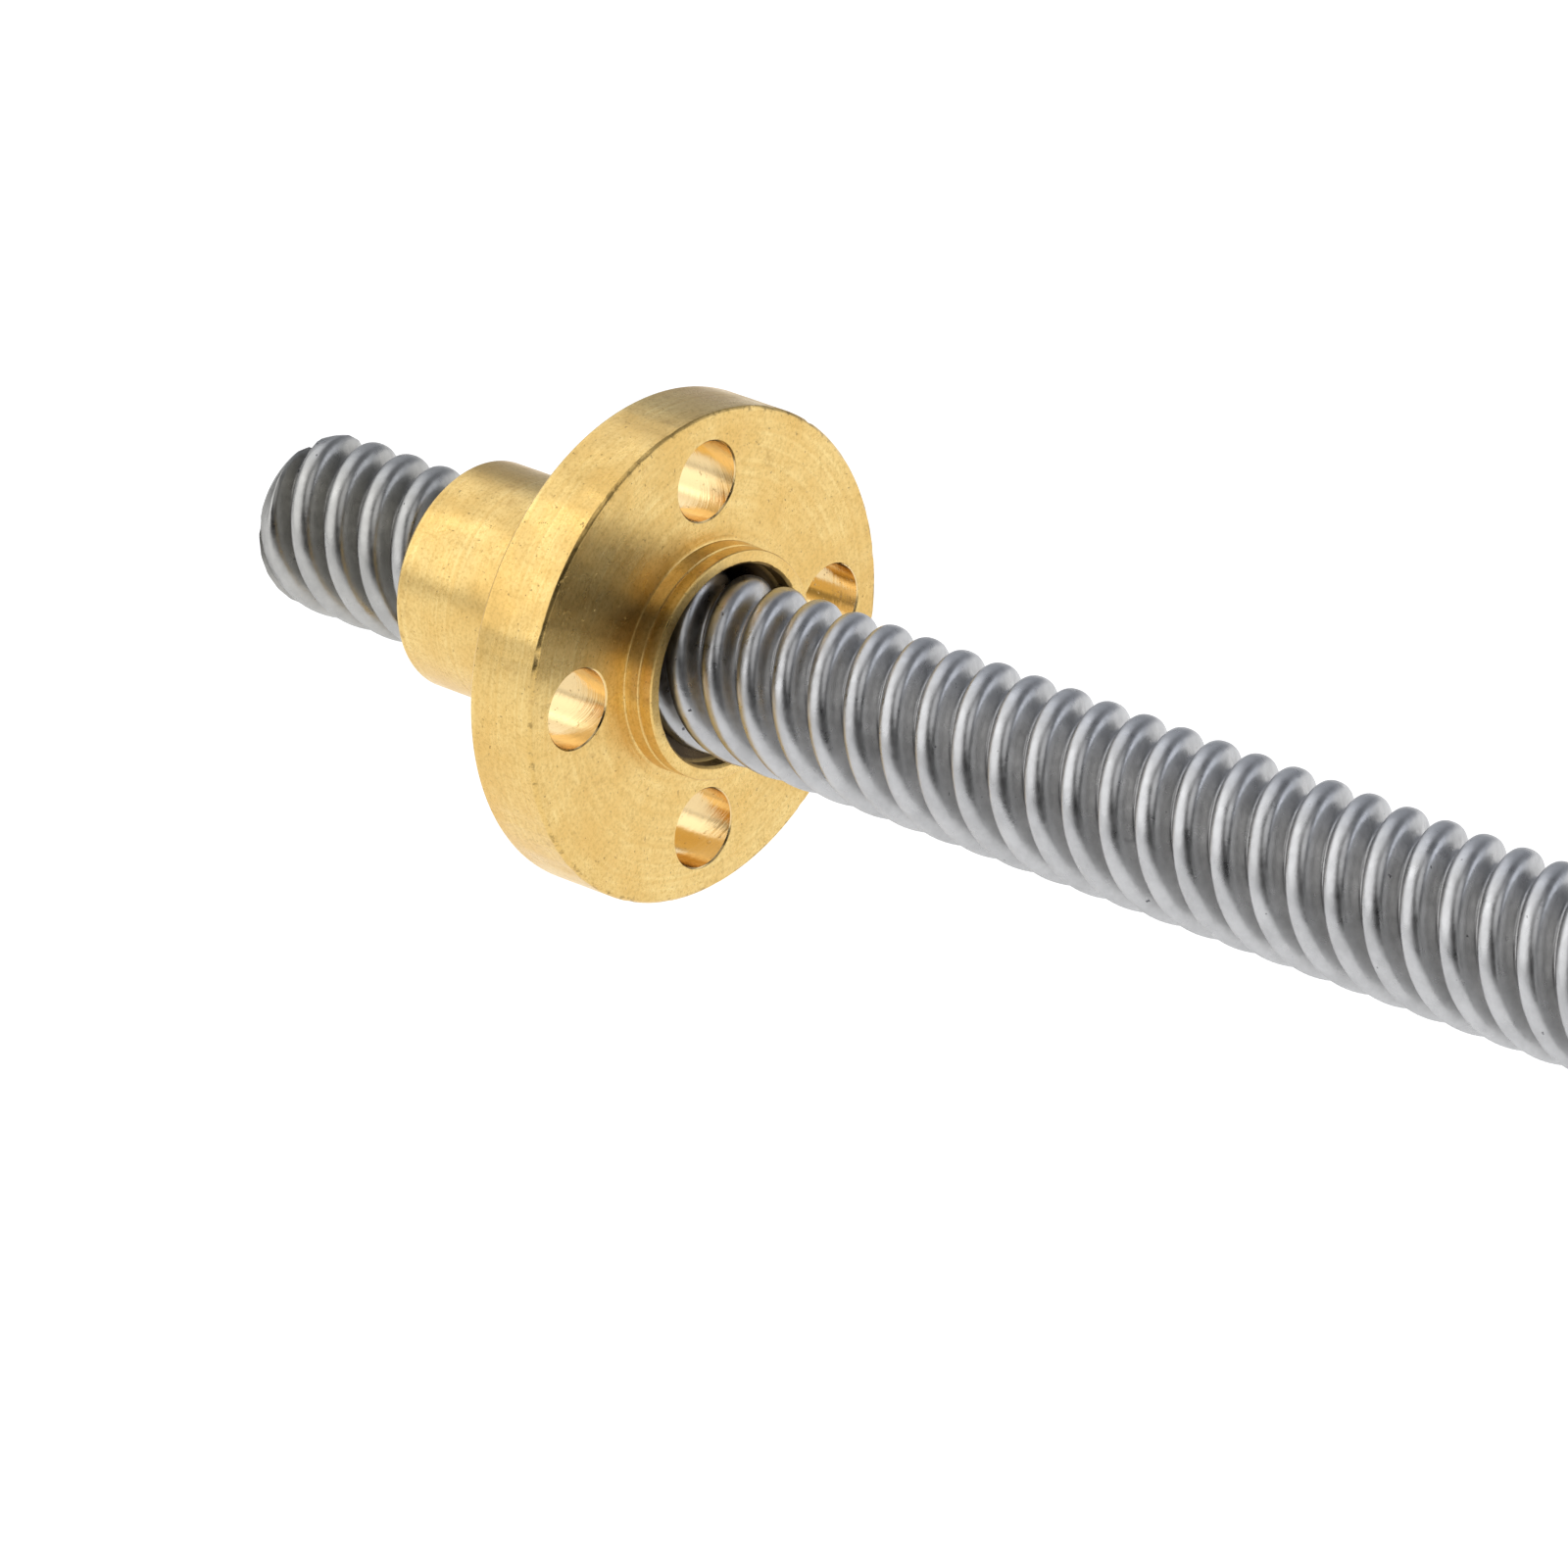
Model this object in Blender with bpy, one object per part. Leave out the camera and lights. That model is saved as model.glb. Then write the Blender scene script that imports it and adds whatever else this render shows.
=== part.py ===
"""Hybrid stepper motor with an integral four-start lead screw and a flanged brass nut.

Every piece is modelled in millimetres along the shaft, with local +Z running from the motor's rear face to the
screw's free end and local +X pointing up. The assembly empty lays that frame down: the shaft then runs along
world -X, and the motor rests on one of its flat sides.
"""

import math

import bmesh
import bpy
from mathutils import Matrix

# All dimensions are in millimetres and angles in radians; MM turns them into metres.
MM = 0.001
TURN = 2 * math.pi

# Motor body: a 42.3 mm square frame, 40 mm long.
SIDE = 42.3
CORNER_CHAMFER = 5.0
EDGE_CHAMFER = 0.6
BODY_LENGTH = 40.0
CAP_LENGTH = 9.5
JOINT_GAP = 0.05
PILOT_RADIUS = 11.0
PILOT_HEIGHT = 2.0
HOLE_SPACING = 31.0
STATOR_SIDE = SIDE - 0.2
STATOR_START = CAP_LENGTH + JOINT_GAP
STATOR_END = BODY_LENGTH - CAP_LENGTH - JOINT_GAP

# Winding space inside the end caps.
POCKET_RADIUS = 17.8
POCKET_DEPTH = 6.9
BEARING_BOSS_RADIUS = 10.0

# Ball bearings, 5 x 16 x 5 mm.
BEARING_WIDTH = 5.0
BEARING_OUTER = 7.95
BEARING_SEAT = 8.05
BEARING_BORE = 2.6
INNER_LAND = 4.15
OUTER_LAND = 6.35
BALL_RADIUS = 1.35
BALL_CIRCLE = 5.25
BALLS = 7
REAR_BEARING_START = 3.3
FRONT_BEARING_START = 33.5

# Stator: eight poles with six small teeth each. Rotor: two cups of fifty teeth, half a tooth apart.
POLES = 8
POLE_TEETH = 6
ROTOR_TEETH = 50
TOOTH_PITCH = TURN / ROTOR_TEETH
STATOR_BORE = 11.08
STATOR_TOOTH_ROOT = 11.55
YOKE_RADIUS = 17.3
NECK_HALF = 2.2
ROTOR_TIP = 10.95
ROTOR_ROOT = 10.45
ROTOR_BORE = 2.55
REAR_CUP = (10.6, 19.4)
MAGNET = (19.45, 20.95)
FRONT_CUP = (21.0, 29.8)

# Slot insulators and coils.
INSULATOR_THICKNESS = 0.85
INSULATOR_RING = (17.0, 17.6)
ARM_HALF = 2.35
GUARD_HALF = 3.8
GUARD = (12.3, 13.05)
GUARD_HEIGHT = 2.45
COIL_RADIAL = (13.3, 16.2)
COIL_INNER_HALF = 2.5
COIL_THICKNESS = 2.1
COIL_END_GAP = 0.1

# Shaft and four-start trapezoidal thread, 8 mm across with an 8 mm lead.
JOURNAL_RADIUS = 2.5
COLLAR_RADIUS = 3.4
SCREW_LENGTH = 100.0
TIP = BODY_LENGTH + SCREW_LENGTH
THREAD_START = 43.2
STARTS = 4
LEAD = 8.0
CREST_RADIUS = 3.95
ROOT_RADIUS = 2.85
CREST_HALF = math.radians(16.5)
ROOT_HALF = math.radians(13.5)
TIP_RADIUS = 3.1
TIP_CHAMFER = 1.1

# Flanged nut, 22 mm across and 15 mm long.
NUT_FACE = TIP - 23.6
FLANGE_RADIUS = 11.0
FLANGE_THICKNESS = 3.5
HUB_RADIUS = 5.1
HUB_LENGTH = 10.0
BOSS_HEIGHT = 1.5
NUT_HOLE_CIRCLE = 8.0
NUT_HOLE_RADIUS = 1.75
NUT_EDGE = 0.15
THREAD_GAP = 0.27
THREAD_GAP_ANGLE = math.radians(3.0)
# Angle of one crest at the flange face, which sets where the screw stands at rest.
CREST_AT_FLANGE = math.radians(82.4)

# Connector socket: six positions at 2 mm, four of them fitted with pins.
SOCKET_HALF_WIDTH = 7.95
SOCKET_Y = (-25.6, -17.0)
SOCKET_Z = (3.6, 8.4)
SOCKET_WALL = 0.95
SOCKET_BACK = -19.6
PIN_PITCH = 2.0
PIN_HALF = 0.25
PIN_Y = (-24.4, -15.9)
PIN_Z = 6.0
FITTED_PINS = (0, 2, 3, 5)
BOARD_Z = (4.7, 5.6)

FINE = 24
COARSE = 12


# ---------------------------------------------------------------- materials and objects


def material(name, colour, roughness, metallic):
    made = bpy.data.materials.new(name)
    made.use_nodes = True
    shader = made.node_tree.nodes["Principled BSDF"]
    shader.inputs["Base Color"].default_value = (*colour, 1.0)
    shader.inputs["Roughness"].default_value = roughness
    shader.inputs["Metallic"].default_value = metallic
    return made


def empty(name, parent=None):
    made = bpy.data.objects.new(name, None)
    bpy.context.scene.collection.objects.link(made)
    made.parent = parent
    return made


def solid(name, shape, finish, parent):
    """Makes a named object from a bmesh in millimetres, and frees the bmesh."""
    bmesh.ops.scale(shape, vec=(MM, MM, MM), verts=shape.verts)
    bmesh.ops.recalc_face_normals(shape, faces=shape.faces)
    mesh = bpy.data.meshes.new(name)
    shape.to_mesh(mesh)
    shape.free()
    mesh.shade_smooth()
    mesh.set_sharp_from_angle(angle=math.radians(30))
    made = bpy.data.objects.new(name, mesh)
    bpy.context.scene.collection.objects.link(made)
    made.parent = parent
    if finish:
        mesh.materials.append(finish)
    return made


def helper(name, shape, parent):
    """A shape that only cuts or joins another, and isn't a piece itself."""
    made = solid(name, shape, None, parent)
    made.hide_render = True
    made.display_type = "WIRE"
    return made


def boolean(target, other, operation):
    modifier = target.modifiers.new(f"{operation.lower()}_{other.name}", "BOOLEAN")
    modifier.operation = operation
    modifier.object = other


# ---------------------------------------------------------------- shapes, in millimetres


def circle(radius, count, centre=(0.0, 0.0)):
    steps = [TURN * i / count for i in range(count)]
    return [(centre[0] + radius * math.cos(a), centre[1] + radius * math.sin(a)) for a in steps]


def polar(radius, angle):
    return (radius * math.cos(angle), radius * math.sin(angle))


def corners(spacing):
    half = spacing / 2
    return [(x, y) for x in (-half, half) for y in (-half, half)]


def chamfered_square(side, chamfer):
    half = side / 2
    short = half - chamfer
    return [
        (half, -short), (half, short), (short, half), (-short, half),
        (-half, short), (-half, -short), (-short, -half), (short, -half),
    ]


def bridge(shape, rings, closed=False):
    """Joins rings of as many points each, and caps the first and last unless the rings close on themselves."""
    loops = [[shape.verts.new(p) for p in ring] for ring in rings]
    following = loops[1:] + loops[:1] if closed else loops[1:]
    for low, high in zip(loops, following):
        count = len(low)
        for i in range(count):
            j = (i + 1) % count
            shape.faces.new((low[i], low[j], high[j], high[i]))
    if not closed:
        shape.faces.new(loops[0][::-1])
        shape.faces.new(loops[-1])
    return shape


def loft(levels):
    """A solid through outlines of as many points each: levels holds (outline, z)."""
    return bridge(bmesh.new(), [[(x, y, z) for x, y in outline] for outline, z in levels])


def turned(profile, count=FINE, ring=False):
    """A solid turned about the shaft from (radius, z) points. A ring's profile closes on itself."""
    rings = [[(x, y, z) for x, y in circle(radius, count)] for radius, z in profile]
    return bridge(bmesh.new(), rings, closed=ring)


def tube(inner, outer, start, end, count=FINE):
    return turned([(inner, start), (outer, start), (outer, end), (inner, end)], count, ring=True)


def prism(outline, holes, start, end):
    """An outline with holes, filled and extruded along the shaft."""
    shape = bmesh.new()
    edges = []
    for loop in [outline, *holes]:
        verts = [shape.verts.new((x, y, start)) for x, y in loop]
        edges += [shape.edges.new(pair) for pair in zip(verts, verts[1:] + verts[:1])]
    bmesh.ops.triangle_fill(shape, use_beauty=True, use_dissolve=False, edges=edges)
    grown = bmesh.ops.extrude_face_region(shape, geom=shape.faces[:])["geom"]
    top = [v for v in grown if isinstance(v, bmesh.types.BMVert)]
    bmesh.ops.translate(shape, vec=(0, 0, end - start), verts=top)
    return shape


def add_box(shape, low, high, turn=0.0):
    """Adds a box between two corners, turned about the shaft."""
    size = [h - l for l, h in zip(low, high)]
    middle = [(h + l) / 2 for l, h in zip(low, high)]
    place = Matrix.Rotation(turn, 4, "Z") @ Matrix.Translation(middle) @ Matrix.Diagonal((*size, 1.0))
    bmesh.ops.create_cube(shape, size=1.0, matrix=place)
    return shape


def box(low, high):
    return add_box(bmesh.new(), low, high)


def posts(places, radius, start, end, count=COARSE):
    """Separate cylinders along the shaft at several places."""
    shape = bmesh.new()
    for place in places:
        ring = circle(radius, count, place)
        bridge(shape, [[(x, y, z) for x, y in ring] for z in (start, end)])
    return shape


# ---------------------------------------------------------------- end caps, stator, coils


def end_cap(name, finish, parent, levels, pocket):
    """A die-cast cap: its outline, the winding and bearing space, and the four corner holes."""
    cap = solid(name, loft(levels), finish, parent)
    boolean(cap, helper(f"{name}_pocket", pocket, parent), "DIFFERENCE")
    return cap


def rear_end_cap(finish, parent):
    full = chamfered_square(SIDE, CORNER_CHAMFER)
    inset = chamfered_square(SIDE - 2 * EDGE_CHAMFER, CORNER_CHAMFER - EDGE_CHAMFER / 2)
    floor = CAP_LENGTH - POCKET_DEPTH
    seat = floor + 0.05
    boss_top = REAR_BEARING_START + BEARING_WIDTH + 0.1
    pocket = turned([
        (BEARING_SEAT, seat), (BEARING_SEAT, boss_top), (BEARING_BOSS_RADIUS, boss_top),
        (BEARING_BOSS_RADIUS, floor), (POCKET_RADIUS, floor), (POCKET_RADIUS, CAP_LENGTH + 1),
    ])
    levels = [(inset, 0.0), (full, EDGE_CHAMFER), (full, CAP_LENGTH)]
    cap = end_cap("rear_end_cap", finish, parent, levels, pocket)
    screw_holes = posts(corners(HOLE_SPACING), 1.6, 2.0, CAP_LENGTH + 1)
    boolean(cap, helper("rear_screw_holes", screw_holes, parent), "DIFFERENCE")
    head_pockets = posts(corners(HOLE_SPACING), 3.1, -1.0, 3.0, 16)
    boolean(cap, helper("head_pockets", head_pockets, parent), "DIFFERENCE")
    window = box((-SOCKET_HALF_WIDTH - 0.2, -SIDE / 2 - 1, SOCKET_Z[0] - 0.2),
                 (SOCKET_HALF_WIDTH + 0.2, -BEARING_BOSS_RADIUS - 5, SOCKET_Z[1] + 0.2))
    boolean(cap, helper("socket_window", window, parent), "DIFFERENCE")


def front_end_cap(finish, parent):
    full = chamfered_square(SIDE, CORNER_CHAMFER)
    inset = chamfered_square(SIDE - 2 * EDGE_CHAMFER, CORNER_CHAMFER - EDGE_CHAMFER / 2)
    start = BODY_LENGTH - CAP_LENGTH
    pocket_top = start + POCKET_DEPTH - 0.4
    bearing_end = FRONT_BEARING_START + BEARING_WIDTH + 0.1
    shaft_hole = 5.2
    pocket = turned([
        (POCKET_RADIUS, start - 1), (POCKET_RADIUS, pocket_top), (BEARING_BOSS_RADIUS, pocket_top),
        (BEARING_BOSS_RADIUS, start + 1.1), (BEARING_SEAT, start + 1.1), (BEARING_SEAT, bearing_end),
        (shaft_hole, bearing_end), (shaft_hole, BODY_LENGTH + PILOT_HEIGHT + 1),
    ])
    levels = [(full, start), (full, BODY_LENGTH - EDGE_CHAMFER), (inset, BODY_LENGTH)]
    cap = solid("front_end_cap", loft(levels), finish, parent)
    pilot = turned([
        (PILOT_RADIUS, BODY_LENGTH - 1), (PILOT_RADIUS, BODY_LENGTH + PILOT_HEIGHT - 0.4),
        (PILOT_RADIUS - 0.4, BODY_LENGTH + PILOT_HEIGHT),
    ], 32)
    boolean(cap, helper("pilot", pilot, parent), "UNION")
    boolean(cap, helper("front_pocket", pocket, parent), "DIFFERENCE")
    holes = posts(corners(HOLE_SPACING), 1.5, start - 1, BODY_LENGTH + 1)
    boolean(cap, helper("mounting_holes", holes, parent), "DIFFERENCE")


def pole_outline(angle):
    """The edge of one pole, from the yoke down one side, along its teeth and back up, then the yoke to the next."""
    def place(across, radius):
        return (radius * math.cos(angle) - across * math.sin(angle),
                radius * math.sin(angle) + across * math.cos(angle))

    first = -(POLE_TEETH - 1) / 2 * TOOTH_PITCH
    tip_angle = math.radians(20.2)
    tooth_half, root_half = math.radians(1.55), math.radians(1.95)
    points = [place(-NECK_HALF, YOKE_RADIUS), place(-NECK_HALF, 12.8)]
    points += [polar(12.0, angle - tip_angle), polar(STATOR_TOOTH_ROOT, angle - tip_angle)]
    for tooth in range(POLE_TEETH):
        middle = angle + first + tooth * TOOTH_PITCH
        if tooth:
            points += [polar(STATOR_TOOTH_ROOT, middle - root_half)]
        points += [polar(STATOR_BORE, middle - tooth_half), polar(STATOR_BORE, middle + tooth_half)]
        if tooth < POLE_TEETH - 1:
            points += [polar(STATOR_TOOTH_ROOT, middle + root_half)]
    points += [polar(STATOR_TOOTH_ROOT, angle + tip_angle), polar(12.0, angle + tip_angle)]
    points += [place(NECK_HALF, 12.8), place(NECK_HALF, YOKE_RADIUS)]
    return points + [polar(YOKE_RADIUS, angle + math.radians(a)) for a in (15, 22.5, 30)]


def stator_stack(finish, parent):
    bore = [p for k in range(POLES) for p in pole_outline(TURN * k / POLES)]
    screw_holes = [circle(1.7, COARSE, place) for place in corners(HOLE_SPACING)]
    outline = chamfered_square(STATOR_SIDE, CORNER_CHAMFER + 0.4)
    solid("stator_stack", prism(outline, [bore, *screw_holes], STATOR_START, STATOR_END), finish, parent)


def insulator_hole():
    """The open middle of a slot insulator: arms over the poles, each with a wider end, inside a thin ring."""
    points = []
    for k in range(POLES):
        angle = TURN * k / POLES
        across_radius = [
            (-ARM_HALF, INSULATOR_RING[0]), (-ARM_HALF, GUARD[1]), (-GUARD_HALF, GUARD[1]), (-GUARD_HALF, GUARD[0]),
            (GUARD_HALF, GUARD[0]), (GUARD_HALF, GUARD[1]), (ARM_HALF, GUARD[1]), (ARM_HALF, INSULATOR_RING[0]),
        ]
        for across, radius in across_radius:
            points.append((radius * math.cos(angle) - across * math.sin(angle),
                           radius * math.sin(angle) + across * math.cos(angle)))
        points += [polar(INSULATOR_RING[0], angle + math.radians(a)) for a in (15, 22.5, 30)]
    return points


def insulator(name, finish, parent, near, outward):
    """A moulded slot insulator. It lies against the stator at z near and stands away from it along outward."""
    far = near + outward * INSULATOR_THICKNESS
    plate = prism(circle(INSULATOR_RING[1], 32), [insulator_hole()], min(near, far), max(near, far))
    made = solid(name, plate, finish, parent)
    low, high = sorted((near + outward * 0.3, near + outward * GUARD_HEIGHT))
    guards = bmesh.new()
    inset = 0.02
    for k in range(POLES):
        add_box(guards, (GUARD[0] + inset, -GUARD_HALF + inset, low),
                (GUARD[1] - inset, GUARD_HALF - inset, high), TURN * k / POLES)
    boolean(made, helper(f"{name}_guards", guards, parent), "UNION")


def coil(number, finish, parent):
    """One winding: a flat loop round its pole, as thick as the slot allows, with cut-off corners."""
    end = INSULATOR_THICKNESS + JOINT_GAP + COIL_END_GAP
    low, high = STATOR_START - end, STATOR_END + end
    middle, half = (low + high) / 2, (high - low) / 2

    def loop(reach, cut):
        across, along = COIL_INNER_HALF + reach, half + reach
        return [
            (across, -along + cut), (across, along - cut), (across - cut, along), (-across + cut, along),
            (-across, along - cut), (-across, -along + cut), (-across + cut, -along), (across - cut, -along),
        ]

    inner, outer = loop(0.0, 0.1), loop(COIL_THICKNESS, 1.2)
    rings = []
    for outline, radius in ((inner, COIL_RADIAL[0]), (outer, COIL_RADIAL[0]),
                            (outer, COIL_RADIAL[1]), (inner, COIL_RADIAL[1])):
        rings.append([(radius, across, middle + along) for across, along in outline])
    shape = bridge(bmesh.new(), rings, closed=True)
    turn = Matrix.Rotation(TURN * number / POLES, 4, "Z")
    bmesh.ops.transform(shape, matrix=turn, verts=shape.verts)
    solid(f"coil_{number + 1}", shape, finish, parent)


# ---------------------------------------------------------------- bearings


def bearing(name, start, steel, brass_cage, ring_parent, shaft_parent, cage_parent):
    """A shielded ball bearing: rings, shields, a crown cage and its balls, each a piece of its own."""
    middle = start + BEARING_WIDTH / 2
    end = start + BEARING_WIDTH
    groove = [(1.0, 0.0), (0.45, 1.0), (-0.45, 1.0), (-1.0, 0.0)]
    outer_depth, inner_depth = 0.37, 0.31
    outer = [(BEARING_OUTER, start), (BEARING_OUTER, end), (OUTER_LAND, end)]
    outer += [(OUTER_LAND + outer_depth * deep, middle + z) for z, deep in groove]
    outer += [(OUTER_LAND, start)]
    solid(f"{name}_outer_ring", turned(outer, ring=True), steel, ring_parent)
    inner = [(BEARING_BORE, end), (BEARING_BORE, start), (INNER_LAND, start)]
    inner += [(INNER_LAND - inner_depth * deep, middle - z) for z, deep in groove]
    inner += [(INNER_LAND, end)]
    solid(f"{name}_inner_ring", turned(inner, ring=True), steel, shaft_parent)
    for side, offset in (("rear", -2.25), ("front", 1.95)):
        low = middle + offset
        shield = tube(INNER_LAND + 0.2, OUTER_LAND - 0.1, low, low + 0.3)
        solid(f"{name}_{side}_shield", shield, steel, ring_parent)
    cage = solid(f"{name}_cage", tube(4.75, 5.75, middle - 1.85, middle - 1.45), brass_cage, cage_parent)
    fingers = bmesh.new()
    for k in range(BALLS):
        add_box(fingers, (4.9, -0.55, middle - 1.6), (5.6, 0.55, middle + 0.5), TURN * (k + 0.5) / BALLS)
    boolean(cage, helper(f"{name}_fingers", fingers, cage_parent), "UNION")
    for k in range(BALLS):
        x, y = polar(BALL_CIRCLE, TURN * k / BALLS)
        ball = bmesh.new()
        bmesh.ops.create_icosphere(ball, subdivisions=2, radius=BALL_RADIUS,
                                   matrix=Matrix.Translation((x, y, middle)))
        solid(f"{name}_ball_{k + 1}", ball, steel, cage_parent)


def wave_washer(finish, parent):
    """The preload spring behind the rear bearing: a thin ring with three waves."""
    lift, wave, half = REAR_BEARING_START - 0.33, 0.1, 0.09
    rings = []
    for radius, side in ((5.6, -half), (7.7, -half), (7.7, half), (5.6, half)):
        ring = circle(radius, FINE)
        rings.append([(x, y, lift + side + wave * math.cos(3 * math.atan2(y, x))) for x, y in ring])
    solid("wave_washer", bridge(bmesh.new(), rings, closed=True), finish, parent)


# ---------------------------------------------------------------- rotor, screw and nut


def rotor_cup(name, span, shift, finish, parent):
    """Half of the rotor: fifty teeth round a bore, turned by a share of a tooth."""
    outline = []
    for tooth in range(ROTOR_TEETH):
        middle = (tooth + shift) * TOOTH_PITCH
        for radius, degrees in ((ROTOR_TIP, -1.5), (ROTOR_TIP, 1.5), (ROTOR_ROOT, 2.0), (ROTOR_ROOT, 5.2)):
            outline.append(polar(radius, middle + math.radians(degrees)))
    solid(name, prism(outline, [circle(ROTOR_BORE, FINE)], *span), finish, parent)


def crest_angle(z):
    return CREST_AT_FLANGE + TURN * (z - NUT_FACE) / LEAD


def thread_section(z, gap=0.0, gap_angle=0.0, limit=None):
    """The four-lobed cross-section of the thread at one height. A gap makes it the nut's, which is wider all round."""
    crest, root = CREST_RADIUS + gap, ROOT_RADIUS + gap
    crest_half, root_half = CREST_HALF + gap_angle, ROOT_HALF - gap_angle
    middle = TURN / STARTS / 2
    lobe = [(-crest_half, crest), (crest_half, crest), (middle - root_half, root), (middle + root_half, root)]
    points = []
    for start in range(STARTS):
        for angle, radius in lobe:
            kept = min(radius, limit) if limit else radius
            x, y = polar(kept, crest_angle(z) + start * TURN / STARTS + angle)
            points.append((x, y, z))
    return points


def twisted(rings):
    """A solid through twisted rings, with each quad cut along its short diagonal, which keeps to the helix."""
    shape = bridge(bmesh.new(), rings)
    quads = [face for face in shape.faces if len(face.verts) == 4]
    bmesh.ops.triangulate(shape, faces=quads, quad_method="SHORT_EDGE")
    return shape


def lead_screw(finish, parent):
    """The motor shaft and the screw in one piece: journal, collar and thread, with a chamfered free end."""
    steps_per_turn = 12
    first, last = THREAD_START + 0.6, TIP - TIP_CHAMFER
    count = math.ceil((last - first) / LEAD * steps_per_turn)
    rings = [thread_section(THREAD_START, limit=3.1)]
    rings += [thread_section(first + (last - first) * i / count) for i in range(count + 1)]
    rings += [thread_section(TIP, limit=TIP_RADIUS)]
    thread = twisted(rings)
    shaft = turned([
        (2.1, 2.9), (JOURNAL_RADIUS, 3.3), (JOURNAL_RADIUS, FRONT_BEARING_START + BEARING_WIDTH + 0.1),
        (COLLAR_RADIUS, FRONT_BEARING_START + BEARING_WIDTH + 0.1), (COLLAR_RADIUS, THREAD_START + 0.2),
        (COLLAR_RADIUS - 0.5, THREAD_START + 0.7),
    ])
    screw = solid("lead_screw", shaft, finish, parent)
    boolean(screw, helper("thread", thread, parent), "UNION")


def lead_nut(finish, parent):
    """The brass nut: a boss, a drilled flange and a hub on one axis, threaded right through."""
    boss, back = NUT_FACE - BOSS_HEIGHT, NUT_FACE + FLANGE_THICKNESS
    end = back + HUB_LENGTH
    blank = turned([
        (HUB_RADIUS - NUT_EDGE, boss), (HUB_RADIUS, boss + NUT_EDGE), (HUB_RADIUS, NUT_FACE),
        (FLANGE_RADIUS - NUT_EDGE, NUT_FACE), (FLANGE_RADIUS, NUT_FACE + NUT_EDGE),
        (FLANGE_RADIUS, back - NUT_EDGE), (FLANGE_RADIUS - NUT_EDGE, back), (HUB_RADIUS, back),
        (HUB_RADIUS, end - NUT_EDGE), (HUB_RADIUS - NUT_EDGE, end),
    ], 32)
    nut = solid("lead_nut", blank, finish, parent)
    steps_per_turn = 18
    low, high = boss - 1, end + 1
    count = math.ceil((high - low) / LEAD * steps_per_turn)
    rings = [thread_section(low + (high - low) * i / count, THREAD_GAP, THREAD_GAP_ANGLE) for i in range(count + 1)]
    boolean(nut, helper("nut_thread", twisted(rings), parent), "DIFFERENCE")
    mouths = bmesh.new()
    mouth, depth = 4.6, 0.5
    for face, inward in ((boss, 1), (end, -1)):
        levels = sorted([(face - inward * 0.4, mouth + 0.2), (face + inward * depth, mouth - 0.7)])
        bridge(mouths, [[(x, y, z) for x, y in circle(radius, FINE)] for z, radius in levels])
    boolean(nut, helper("nut_mouths", mouths, parent), "DIFFERENCE")
    places = [polar(NUT_HOLE_CIRCLE, TURN * k / 4) for k in range(4)]
    holes = posts(places, NUT_HOLE_RADIUS, NUT_FACE - 1, back + 1, 16)
    boolean(nut, helper("nut_holes", holes, parent), "DIFFERENCE")


# ---------------------------------------------------------------- screws, board and connector


def motor_screw(number, place, finish, parent):
    """A long machine screw from the rear cap through the stator into the front cap, with a crossed recess."""
    x, y = place
    top, under, tip = 0.4, 2.95, 35.3
    profile = [(2.1, top), (2.75, top + 0.6), (2.75, under), (1.35, under), (1.35, tip - 0.4), (1.0, tip)]
    rings = [[(px, py, z) for px, py in circle(radius, COARSE, place)] for radius, z in profile]
    made = solid(f"motor_screw_{number}", bridge(bmesh.new(), rings), finish, parent)
    arm, blade, depth = 1.5, 0.3, 1.3
    cross = [
        (arm, -blade), (arm, blade), (blade, blade), (blade, arm), (-blade, arm), (-blade, blade),
        (-arm, blade), (-arm, -blade), (-blade, -blade), (-blade, -arm), (blade, -arm), (blade, -blade),
    ]
    recess = prism([(x + px, y + py) for px, py in cross], [], top - 1, top + depth)
    boolean(made, helper(f"recess_{number}", recess, parent), "DIFFERENCE")


def terminal_board(finish, parent):
    """The small circuit board that joins the coil ends to the connector's pins."""
    outer = [polar(16.8, math.radians(a)) for a in range(-142, -37, 8)]
    inner = [polar(11.2, math.radians(a)) for a in range(-38, -143, -8)]
    solid("terminal_board", prism(outer + inner, [], *BOARD_Z), finish, parent)


def connector(finish, pin_finish, parent):
    """The socket on the motor's side and the pins that stand in it."""
    low = (-SOCKET_HALF_WIDTH, SOCKET_Y[0], SOCKET_Z[0])
    high = (SOCKET_HALF_WIDTH, SOCKET_Y[1], SOCKET_Z[1])
    housing = solid("connector_housing", box(low, high), finish, parent)
    cavity = box((-SOCKET_HALF_WIDTH + SOCKET_WALL, SOCKET_Y[0] - 1, SOCKET_Z[0] + SOCKET_WALL),
                 (SOCKET_HALF_WIDTH - SOCKET_WALL, SOCKET_BACK, SOCKET_Z[1] - SOCKET_WALL))
    boolean(housing, helper("socket_cavity", cavity, parent), "DIFFERENCE")
    positions = [PIN_PITCH * (k - 2.5) for k in range(6)]
    clear = PIN_HALF + 0.08
    pin_holes = bmesh.new()
    for k in FITTED_PINS:
        x = positions[k]
        add_box(pin_holes, (x - clear, SOCKET_BACK - 1, PIN_Z - clear), (x + clear, SOCKET_Y[1] + 1, PIN_Z + clear))
    boolean(housing, helper("pin_holes", pin_holes, parent), "DIFFERENCE")
    for number, k in enumerate(FITTED_PINS, start=1):
        x = positions[k]
        pin = box((x - PIN_HALF, PIN_Y[0], PIN_Z - PIN_HALF), (x + PIN_HALF, PIN_Y[1], PIN_Z + PIN_HALF))
        solid(f"connector_pin_{number}", pin, pin_finish, parent)


# ---------------------------------------------------------------- the assembly


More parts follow.
